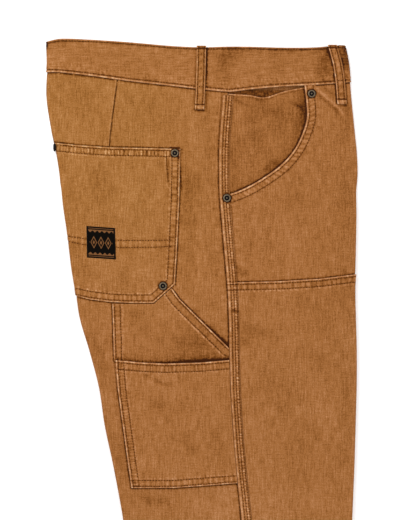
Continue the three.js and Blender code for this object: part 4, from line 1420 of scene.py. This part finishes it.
# Back pocket
pocket_fold = np.array([(float(back_fold_edge(np.array(d))), d) for d in np.linspace(125.2, 308.0, 16)])
pocket_top = np.concatenate([pocket_fold[:1], BACK_POCKET_TOP[2:]])
pocket_bottom = np.concatenate([pocket_fold[-1:], BACK_POCKET_BOTTOM[2:]])
pocket_places = patch(
    pocket_top, pocket_bottom, pocket_fold, BACK_POCKET_SIDE,
    spaced(150, 1.45, 1.0, 13.0), spaced(185, 1.45, 1.0, 12.0),
)
pocket = Surface(*pocket_places, POCKET_LOW, POCKET_HIGH)
pocket.turned_edge(BACK_POCKET_TOP, -1, POCKET_TOP_ROWS, 81, pitch=3.9, gather=1.5)
pocket.turned_edge(POCKET_EDGE, -1, POCKET_ROWS, 83, pitch=6.2, gather=0.7)
REINFORCEMENT = traced((66, 236), (87, 239), (117, 240.5), (150, 240.4), (172, 240))
REINFORCEMENT_LOWER = traced((66, 241), (87, 245), (117, 247.5), (150, 247.2), (172, 246.5))
for line in (REINFORCEMENT, REINFORCEMENT_LOWER):
    pocket.ridge(line, 0, 0.85, -0.3, shade=0.35)
pocket.ridge(REINFORCEMENT, -3.6, 2.4, 0.22, wear_and_light=0.12)
pocket.puckers(REINFORCEMENT, -12, 4, 6.5, 0.14, 87, wear_and_light=0.22, soft=3)
# A crease inside the pocket, with painted shade in it and painted highlight beside it
POCKET_INNER_CREASE = traced((166.8, 157), (166.6, 166), (168, 176), (169, 186))
pocket.ridge(POCKET_INNER_CREASE, 0, 1.0, -0.4, shade=0.5)
pocket.ridge(POCKET_INNER_CREASE, -1.8, 1.2, 0.3, wear_and_light=0.5)
pocket.high -= 0.5 * smooth((-148 - pocket.across) / 8)
rivet_shadows(pocket)
pocket.round_edges("trb")
back_pocket = pocket.build("back_pocket_cloth", DUCK)
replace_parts(back_pocket, "back_pocket")

# Large side pocket with a slanted mouth
slant_top = np.concatenate([[(-107.6, 318.4), (-57.6, 318.4)], SLANT_MOUTH])
slant_places = patch(
    slant_top, TOOL_BOTTOM + (0, -1), np.array([(-107.6, 318.4), (-105.6, 386), (-97, 452), (-84.6, 538.4)]),
    np.array([(32.4, 371.4), (33.8, 420), (36.3, 464), (42.4, 532.6)]),
    spaced(150, 1.5, 1.1, 14.0), spaced(215, 1.4, 1.0, 12.0),
)
slant = Surface(*slant_places, POCKET_LOW, POCKET_HIGH)
gape = 0.9 * bell(slant.beside(SLANT_MOUTH)[0], 9) * smooth((slant.across + 30) / 34)
gape = gape * (1 - smooth((slant.across - 18) / 10))
slant.lift(gape)
slant.turned_edge(SLANT_MOUTH, -1, SLANT_ROWS, 91, pitch=6.0, wear_and_light=1.0, gather=0.4)
slant.ridge(SLANT_MOUTH, -SLANT_ROWS[1] - 1.5, 0.9, 0.1, wear_and_light=0.35)
slant.turned_edge(SLANT_SIDE, 1, SLANT_SIDE_ROWS, 93, pitch=5.0, gather=0.55)
# Painted shadow under the tool pocket's gaping mouth, strongest right of its middle
distance, _ = slant.beside(TOOL_TOP)
deepest = 0.3 + 0.7 * bell(slant.across + 2, 34)
slant.high -= 0.4 * bell(distance - 5, 7)
mouth_shade = 2.3 * bell(distance - 0.9, 1.7) + 0.7 * bell(distance, 9)
slant.shaded += deepest * mouth_shade
slant.round_edges("tl")
slant_pocket = slant.build("side_pocket", DUCK)
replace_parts(slant_pocket, "slant_pocket")

# Tool pocket on it
tool_places = patch(
    TOOL_TOP, TOOL_BOTTOM, TOOL_SIDE, TOOL_INNER_SIDE,
    spaced(136, 1.45, 1.0, 14.0, lips=(True, False)), spaced(150, 1.3, 1.0, 12.0),
)
tool = Surface(*tool_places, SECOND_LOW, SECOND_HIGH)
below_mouth = -tool.beside(TOOL_TOP)[0]
gape = 1.5 * bell(below_mouth, 10) * bell(tool.across + 22, 44)
tool.lift(gape)
tool.turned_edge(TOOL_TOP, -1, TOOL_TOP_ROWS, 101, pitch=3.9, wear_and_light=1.0, gather=0.7)
tool.turned_edge(TOOL_SIDE, 1, TOOL_SIDE_ROWS, 103, pitch=3.4, gather=0.8)
tool.turned_edge(TOOL_BOTTOM, 1, TOOL_BOTTOM_ROWS, 105, pitch=6.0, gather=0.7)
tool.puckers(TOOL_TOP, -26, -10, 10.0, 0.2, 107, wear_and_light=0.06, soft=5)
tool.round_edges("tlb")
tool_pocket = tool.build("tool_pocket_cloth", DUCK)
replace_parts(tool_pocket, "tool_pocket")


# Belt loops
def belt_loop(strap, name, node, left_wear, right_wear):
    """A strap that stands on the band, with two rows of stitches and a folded lower end."""
    drop = mix(strap[0, 0], strap[-1, 0], spaced(78, 1.1))[:, None]
    offset = (spaced(2 * LOOP_HALF, 0.7)[None, :] - 0.5) * 2 * LOOP_HALF
    stands = np.interp(drop, strap[:, 0], strap[:, 2])
    surface = Surface(curved(strap, 1, drop) + offset, drop, stands, stands + LOOP_THICK)
    crown = 0.25 * (1 - (offset / LOOP_HALF) ** 2)
    surface.high += crown - 0.25 + 0 * drop
    middle = loop_line(strap, 0.0)
    surface.known[id(middle)] = (offset + 0 * drop, drop + 0 * offset, middle)
    for row, wear_and_light in ((-LOOP_ROW, left_wear), (LOOP_ROW, right_wear)):
        surface.ridge(middle, row, 0.75, -0.3, shade=0.75)
        surface.ridge(middle, row * 1.45, 0.65, 0.1, wear_and_light=wear_and_light)
    surface.puckers(middle, -2.6, 2.6, 8.0, 0.14, 111, wear_and_light=0.35, skew=0.3)
    end = smooth((drop - strap[-1, 0] + 6.5) / 1.0)
    surface.high += 0.35 * end * (1 + 0.6 * uneven(offset + 0 * drop, 2.6, 113)) + 0 * offset
    surface.worn += 0.45 * end + 0 * offset
    # The bar tacks pull grooves across the strap, painted with shade
    for place in (strap[0, 0] + LOOP_TOP_TACK, strap[-1, 0] - LOOP_END_TACK):
        surface.shaded += 1.3 * bell(drop - place, 0.9) + 0 * offset
    surface.round_edges("lrtb", 1.0)
    piece = surface.build(name, DUCK)
    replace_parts(piece, node)
    return piece


loop_side = belt_loop(SIDE_LOOP, "belt_loop_at_the_side", "belt_loop_side", 0.65, 0.6)
loop_front = belt_loop(FRONT_LOOP, "belt_loop_at_the_front", "belt_loop_front", 0.85, 0.25)

# Woven label
LABEL_WIDE, LABEL_TALL = 34.5, 38.0
label_shares = spaced(LABEL_WIDE, 0.8), spaced(LABEL_TALL, 0.8)
corner = LABEL_CORNERS
label_places = patch(corner[:2], corner[2:], corner[[0, 2]], corner[[1, 3]], *label_shares)
woven = Surface(*label_places, SECOND_LOW - 0.3, SECOND_LOW + 0.45)
woven.high += 0.12 * rough(woven.across, woven.drop, 9, 121)
woven.round_edges("lrtb", 0.6)
LABEL = label_finish("label_weave", LABEL_WIDE * MM, LABEL_TALL * MM)
label_uv = (
    label_shares[0][None, :] * LABEL_WIDE * MM + 0 * woven.across,
    -label_shares[1][:, None] * LABEL_TALL * MM + 0 * woven.across,
)
label = woven.build("woven_label", LABEL, uv=label_uv, slot="label_weave")
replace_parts(label, "label")

# Rivets and the waist button, turned once and copied: radii, and steps as width and depth
RIVET_RADIUS = 4.9
RIVET_HEIGHT = 1.1
RIVET_FEEL = 3.4
RIVET_STEPS = [(0.5, 0.4), (1.4, 0.15), (0.35, -0.9), (1.5, 0.0), (0.2, 0.6), (0.2, 0.1)]
BUTTON_RADIUS = 8.5
BUTTON_HEIGHT = 1.3
BUTTON_BACK = 1.8
BUTTON_STEPS = [(0.9, 0.35), (0.9, 0.1), (0.5, -0.4), (2.6, 0.0), (0.5, 0.25), (1.6, 0.1)]
DARK_FROM = 1.0
METAL_EDGE = 0.18
METAL_SMOOTH_BELOW = math.radians(40)


def turned(name, radius, height, insets, dark_inside, dark_outside):
    """A disc standing on its back, whose face is inset by steps, dark in a ring and at its rim."""
    bpy.ops.object.select_all(action="DESELECT")
    bpy.ops.mesh.primitive_cylinder_add(vertices=40, radius=radius * MM, depth=height * MM)
    disc = bpy.context.object
    disc.name = name
    bpy.ops.object.mode_set(mode="EDIT")
    bpy.ops.mesh.select_mode(type="FACE")
    bpy.ops.mesh.select_all(action="DESELECT")
    shell = bmesh.from_edit_mesh(disc.data)
    shell.faces.ensure_lookup_table()
    max(shell.faces, key=lambda face: face.normal.z).select_set(True)
    bmesh.update_edit_mesh(disc.data)
    for width, depth in insets:
        bpy.ops.mesh.inset(thickness=width * MM, depth=depth * MM)
    bpy.ops.object.mode_set(mode="OBJECT")
    disc.data.transform(Matrix.Translation((0, 0, height / 2 * MM)))
    disc.data.materials.clear()
    disc.data.materials.append(GUNMETAL)
    disc.data.materials.append(BLACKENED_AND_SHADED)
    for face in disc.data.polygons:
        away = math.hypot(face.center.x, face.center.y)
        in_ring = DARK_FROM * MM < away < dark_inside * MM
        face.material_index = int((in_ring or away > dark_outside * MM) and face.normal.z > -0.5)
    only(disc)
    bevel = disc.modifiers.new("edges", "BEVEL")
    bevel.width = METAL_EDGE * MM
    bevel.segments = 2
    bevel.limit_method = "ANGLE"
    bpy.ops.object.modifier_apply(modifier=bevel.name)
    bpy.ops.object.shade_smooth_by_angle(angle=METAL_SMOOTH_BELOW)
    return disc


def tree_of(grids):
    """What a ray can hit: the outer faces of grids of points, in millimetres."""
    points, faces, count = [], [], 0
    for grid in grids:
        rows, columns = grid.shape[:2]
        points.append(grid.reshape(-1, 3))
        faces.append(grid_faces(rows, columns) + count)
        count += rows * columns
    return BVHTree.FromPolygons(np.concatenate(points).tolist(), np.concatenate(faces).tolist())


above = tree_of(made_surfaces)
below = tree_of([underside])

# A ray starts this far above or below the cloth
FAR = 60.0


def touch(across, drop, under=False):
    """The place and the outward direction of the cloth seen from above or below, or None."""
    down = Vector((0, 0, 1 if under else -1))
    start = Vector((across - MIDDLE_ACROSS, LENGTH / 2 - drop, -FAR if under else FAR))
    place, normal, _, _ = (below if under else above).ray_cast(start, down)
    if place is None:
        return None
    return place, normal if normal.dot(down) < 0 else -normal


def place_copy(source, name, foot, outward):
    """A copy of a turned piece with its own mesh, standing on a point of the cloth."""
    piece = bpy.data.objects.new(name, source.data.copy())
    turn = Vector((0, 0, 1)).rotation_difference(outward.normalized()).to_matrix().to_4x4()
    piece.data.transform(Matrix.Translation(foot * MM) @ turn)
    bpy.context.collection.objects.link(piece)
    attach(piece, "root")
    return piece


rivet = turned("rivet", RIVET_RADIUS, RIVET_HEIGHT, RIVET_STEPS, 3.0, 4.25)
for node, (across, drop) in RIVET_PLACES.items():
    around = [(0, 0), (RIVET_FEEL, 0), (-RIVET_FEEL, 0), (0, RIVET_FEEL), (0, -RIVET_FEEL)]
    heights = [touch(across + x, drop + y)[0].z for x, y in around]
    foot = Vector((across - MIDDLE_ACROSS, LENGTH / 2 - drop, sum(heights) / len(heights) + 0.05))
    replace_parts(place_copy(rivet, node + "_turned", foot, Vector((0, 0, 1))), node)

# The rivet in the back fold leans with the cloth and stays above the floor
FOLD_RIVET_DROP = 130.4
FOLD_RIVET_TURN = 0.84
fold_drop = np.array(FOLD_RIVET_DROP)
back_fold = Fold(-1, fold_drop, True)
fold_place = back_fold.start - FOLD_RIVET_TURN * back_fold.curl
foot = Vector(cloth(fold_place, fold_drop, POCKET_LOW - 0.4))
outward = Vector(cloth(fold_place, fold_drop, SECOND_LOW + 1)) - foot
fold_rivet = place_copy(rivet, "rivet_in_the_fold", foot, outward)
# The whole rivet in the fold is painted dark, as the shade there makes it
fold_rivet.data.materials[0] = BLACKENED_AND_SHADED
lowest = min(point.co.z for point in fold_rivet.data.vertices)
fold_rivet.data.transform(Matrix.Translation((0, 0, max(0.0, -lowest))))
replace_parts(fold_rivet, "rivet_back_pocket_fold")
bpy.data.objects.remove(rivet)

button = turned("button", BUTTON_RADIUS, BUTTON_HEIGHT, BUTTON_STEPS, 0, 9)
button_back = Vector((BUTTON_PLACE[0] - MIDDLE_ACROSS, LENGTH / 2 - BUTTON_PLACE[1], BUTTON_BACK))
waist_button = place_copy(button, "waist_button_turned", button_back, Vector((0, 0.0001, -1)))
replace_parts(waist_button, "waist_button")
bpy.data.objects.remove(button)

# Stitches: one thread modelled once, and copied along each row
bpy.ops.object.select_all(action="DESELECT")
bpy.ops.mesh.primitive_uv_sphere_add(segments=6, ring_count=4, radius=0.5)
one_stitch = bpy.context.object
one_stitch.data.transform(Matrix.Rotation(math.pi / 2, 4, "Y"))
STITCH_POINTS = np.array([tuple(v.co) for v in one_stitch.data.vertices])
STITCH_POINTS[:, 2] -= 1.5 * STITCH_POINTS[:, 0] ** 2
STITCH_FACES = [list(face.vertices) for face in one_stitch.data.polygons]
bpy.data.objects.remove(one_stitch)
STITCH_PITCH = 3.3
STITCH_LONG = 2.1
STITCH_SHORTEST = 0.2
STITCH_LONGEST = 3 * STITCH_LONG
TACK_PITCH = 0.75
THREAD_WIDE = 1.15
THREAD_RISE = 0.14


def row_of(line, pitch=STITCH_PITCH, long=STITCH_LONG):
    """The two ends of each stitch along a line."""
    points = evenly(np.array(line, float), pitch)
    directions = np.diff(points, axis=0)
    directions /= np.hypot(directions[:, :1], directions[:, 1:])
    return [(p, p + d * long) for p, d in zip(points[:-1], directions)]


def tack_of(start, end, wide):
    """A bar tack: close stitches across a short line."""
    line = evenly(np.array([start, end], float), TACK_PITCH)
    across_way = sideways(line)
    return [(p - n * wide / 2, p + n * wide / 2) for p, n in zip(line, across_way)]


def sew(name, stitches, finish=THREAD, wide=THREAD_WIDE, under=False):
    """One mesh of all the stitches of a piece, each lying on the cloth with its ends in it."""
    points, faces = [], []
    for start, end in stitches:
        first, last = touch(*start, under), touch(*end, under)
        if first is None or last is None:
            continue
        along = last[0] - first[0]
        if not STITCH_SHORTEST <= along.length <= STITCH_LONGEST:
            continue
        up = (first[1] + last[1]).normalized()
        side = up.cross(along).normalized()
        up = along.cross(side).normalized()
        middle = (first[0] + last[0]) / 2 + up * THREAD_RISE
        frame_of = np.array([along, side * wide, up * wide])
        count = len(points) * len(STITCH_POINTS)
        points.append(STITCH_POINTS @ frame_of + np.array(middle))
        faces += [[corner + count for corner in face] for face in STITCH_FACES]
    mesh = bpy.data.meshes.new(name)
    mesh.from_pydata((np.concatenate(points) * MM).tolist(), [], faces)
    mesh.materials.append(finish)
    mesh.polygons.foreach_set("use_smooth", [True] * len(mesh.polygons))
    piece = bpy.data.objects.new(name, mesh)
    bpy.context.collection.objects.link(piece)
    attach(piece, "root")
    return piece


def rows_of(*lines):
    """The stitches of several rows."""
    return [stitch for line in lines for stitch in row_of(line)]


def beside_label(stitches):
    """The stitches that the woven label doesn't cover."""
    left, right = LABEL_CORNERS[0, 0] - 1, LABEL_CORNERS[3, 0] + 0.5
    return [(start, end) for start, end in stitches if not (end[0] > left and start[0] < right)]


def at_outseam(offset, start, end):
    """A line beside the outseam, from one drop to another."""
    drops = np.arange(start, end, 8.0)
    return np.column_stack([seam_at(drops) + offset, drops])


waist_rows = rows_of(
    moved(evenly(WAIST_TOP_LINE, 9), -WAIST_TOP_ROW),
    part_of(moved(evenly(WAIST_SEAM_LINE, 9), WAIST_SEAM_ROW), 2, -1),
)
waist_thread = sew("stitches_waistband", waist_rows)
fell_thread = sew(
    "stitches_outseam",
    rows_of(*(at_outseam(row, 70, 1006) for row in FELL_ROWS)),
)
scoop_thread = sew(
    "stitches_scoop",
    rows_of(*(part_of(moved(SCOOP_EDGE, row), 12, -7) for row in SCOOP_ROWS)),
)
pocket_thread = sew(
    "stitches_back_pocket",
    rows_of(
        moved(evenly(BACK_POCKET_TOP, 9), -POCKET_TOP_ROWS[0]),
        part_of(moved(evenly(BACK_POCKET_TOP, 9), -POCKET_TOP_ROWS[1]), 0, -6),
        *(line for row in POCKET_ROWS for line in mitred(POCKET_EDGE, -row)),
    )
    + beside_label(rows_of(REINFORCEMENT, REINFORCEMENT_LOWER))
    + tack_of((-38.5, 130.5), (-27, 131), 2.0)
    + tack_of((-27.4, 131), (-27.6, 144), 2.0),
)
side_pocket_thread = sew(
    "stitches_side_pocket",
    rows_of(
        part_of(moved(SLANT_MOUTH, -SLANT_ROWS[0]), 1, -1),
        part_of(moved(SLANT_MOUTH, -SLANT_ROWS[1]), 2, -6),
        *(part_of(moved(SLANT_SIDE, row), 0, -1) for row in SLANT_SIDE_ROWS),
    ),
)
tool_thread = sew(
    "stitches_tool_pocket",
    rows_of(
        part_of(moved(evenly(TOOL_TOP, 9), -TOOL_TOP_ROWS[0]), 0, -1),
        part_of(moved(evenly(TOOL_TOP, 9), -TOOL_TOP_ROWS[1]), 3, -1),
        part_of(moved(evenly(TOOL_SIDE, 9), TOOL_SIDE_ROWS[0]), 2, -2),
        part_of(moved(evenly(TOOL_SIDE, 9), TOOL_SIDE_ROWS[1]), 2, -9),
        part_of(moved(evenly(TOOL_BOTTOM, 9), TOOL_BOTTOM_ROWS[0]), 2, -1),
        part_of(moved(evenly(TOOL_BOTTOM, 9), TOOL_BOTTOM_ROWS[1]), 11, -1),
    ),
)
knee_thread = sew(
    "stitches_second_layer",
    rows_of(
        *(part_of(moved(evenly(KNEE_TOP, 9), -row), 1, -1) for row in KNEE_TOP_ROWS),
        *(part_of(moved(KNEE_ON_FELL, -row), 0, 2) for row in KNEE_TOP_ROWS),
        *(moved(KNEE_END, row) for row in KNEE_END_ROWS),
    ),
)
hem_rows = rows_of(np.array([(-60.0, LEG_END - HEM_ROW), (180.0, LEG_END - HEM_ROW)]))
hem_thread = sew("stitches_hem", hem_rows)


def loop_stitches(strap):
    """A belt loop's two rows and the bar tacks near its ends."""
    rows = [part_of(loop_line(strap, offset), 3, -7) for offset in (-LOOP_ROW, LOOP_ROW)]
    tacks = []
    middle = loop_line(strap, 0.0)
    for place in (middle[-1] - (0, LOOP_END_TACK), middle[0] + (0, LOOP_TOP_TACK)):
        tacks += tack_of(place - (5, 0), place + (5, 0), 1.2)
    return rows_of(*rows) + tacks


side_loop_thread = sew("stitches_side_loop", loop_stitches(SIDE_LOOP))
front_loop_thread = sew("stitches_front_loop", loop_stitches(FRONT_LOOP))
inset_corners = [corner[k] + (corner.mean(axis=0) - corner[k]) * 0.05 for k in (0, 1, 3, 2, 0)]
label_rows = [
    stitch
    for start, end in zip(inset_corners[:-1], inset_corners[1:])
    for stitch in row_of(np.array([start, end]), 1.9, 1.5)
]
label_thread = sew("stitches_label", label_rows, LABEL_THREAD, 0.5)
under_thread = sew(
    "stitches_left_leg",
    rows_of(
        *(at_outseam(row, 74, 1010) for row in FELL_ROWS),
        part_of(moved(evenly(BACK_POCKET_TOP, 9), -POCKET_TOP_ROWS[0]), 14, -1),
        *mitred(POCKET_EDGE, -POCKET_ROWS[0]),
        np.array([(-50.0, LENGTH - UNDER_HEM_ROW), (165.0, LENGTH - UNDER_HEM_ROW)]),
    ),
    wide=0.55,
    under=True,
)

# A pale floor and soft studio light
FLOOR_SIZE = 6
FLOOR_LEVEL = -0.0004
FLOOR_GLOW = 0.15
WORLD_STRENGTH = 0.82
bpy.ops.object.select_all(action="DESELECT")
bpy.ops.mesh.primitive_plane_add(size=FLOOR_SIZE, location=(0, 0, FLOOR_LEVEL))
floor = bpy.context.object
floor.name = "floor"
paper = Finish("pale_paper")
paper_place = paper.node("ShaderNodeTexCoord", {}, {}, "Object")
paper_noise = paper.node("ShaderNodeTexNoise", {}, {"Vector": paper_place, "Scale": 3.0})
paper_stops = [(0.3, (0.93, 0.93, 0.93)), (0.7, (0.96, 0.96, 0.96))]
paper_colour = paper.node("ShaderNodeValToRGB", {"stops": paper_stops}, {0: paper_noise})
paper.surface.inputs["Emission Color"].default_value = (1, 1, 1, 1)
paper.surface.inputs["Emission Strength"].default_value = FLOOR_GLOW
floor.data.materials.append(paper.put(Base_Color=paper_colour, Roughness=0.9))

world = bpy.data.worlds.new("studio")
world.use_nodes = True
world.node_tree.nodes["Background"].inputs["Color"].default_value = (1, 1, 1, 1)
world.node_tree.nodes["Background"].inputs["Strength"].default_value = WORLD_STRENGTH
bpy.context.scene.world = world

# Lights: name, place, size and power
LIGHTS = [
    ("key", (-0.85, 1.1, 1.55), 0.9, 20.0),
    ("fill", (1.5, -0.4, 2.3), 2.0, 20.0),
]
for name, place, size, power in LIGHTS:
    light_data = bpy.data.lights.new(name, "AREA")
    light_data.size = size
    light_data.energy = power
    light = bpy.data.objects.new(name, light_data)
    light.location = place
    aim = Vector((*VIEW_MIDDLE, 0)) - Vector(place)
    light.rotation_euler = aim.to_track_quat("-Z", "Y").to_euler()
    bpy.context.collection.objects.link(light)
bpy.context.scene.view_settings.view_transform = "Standard"
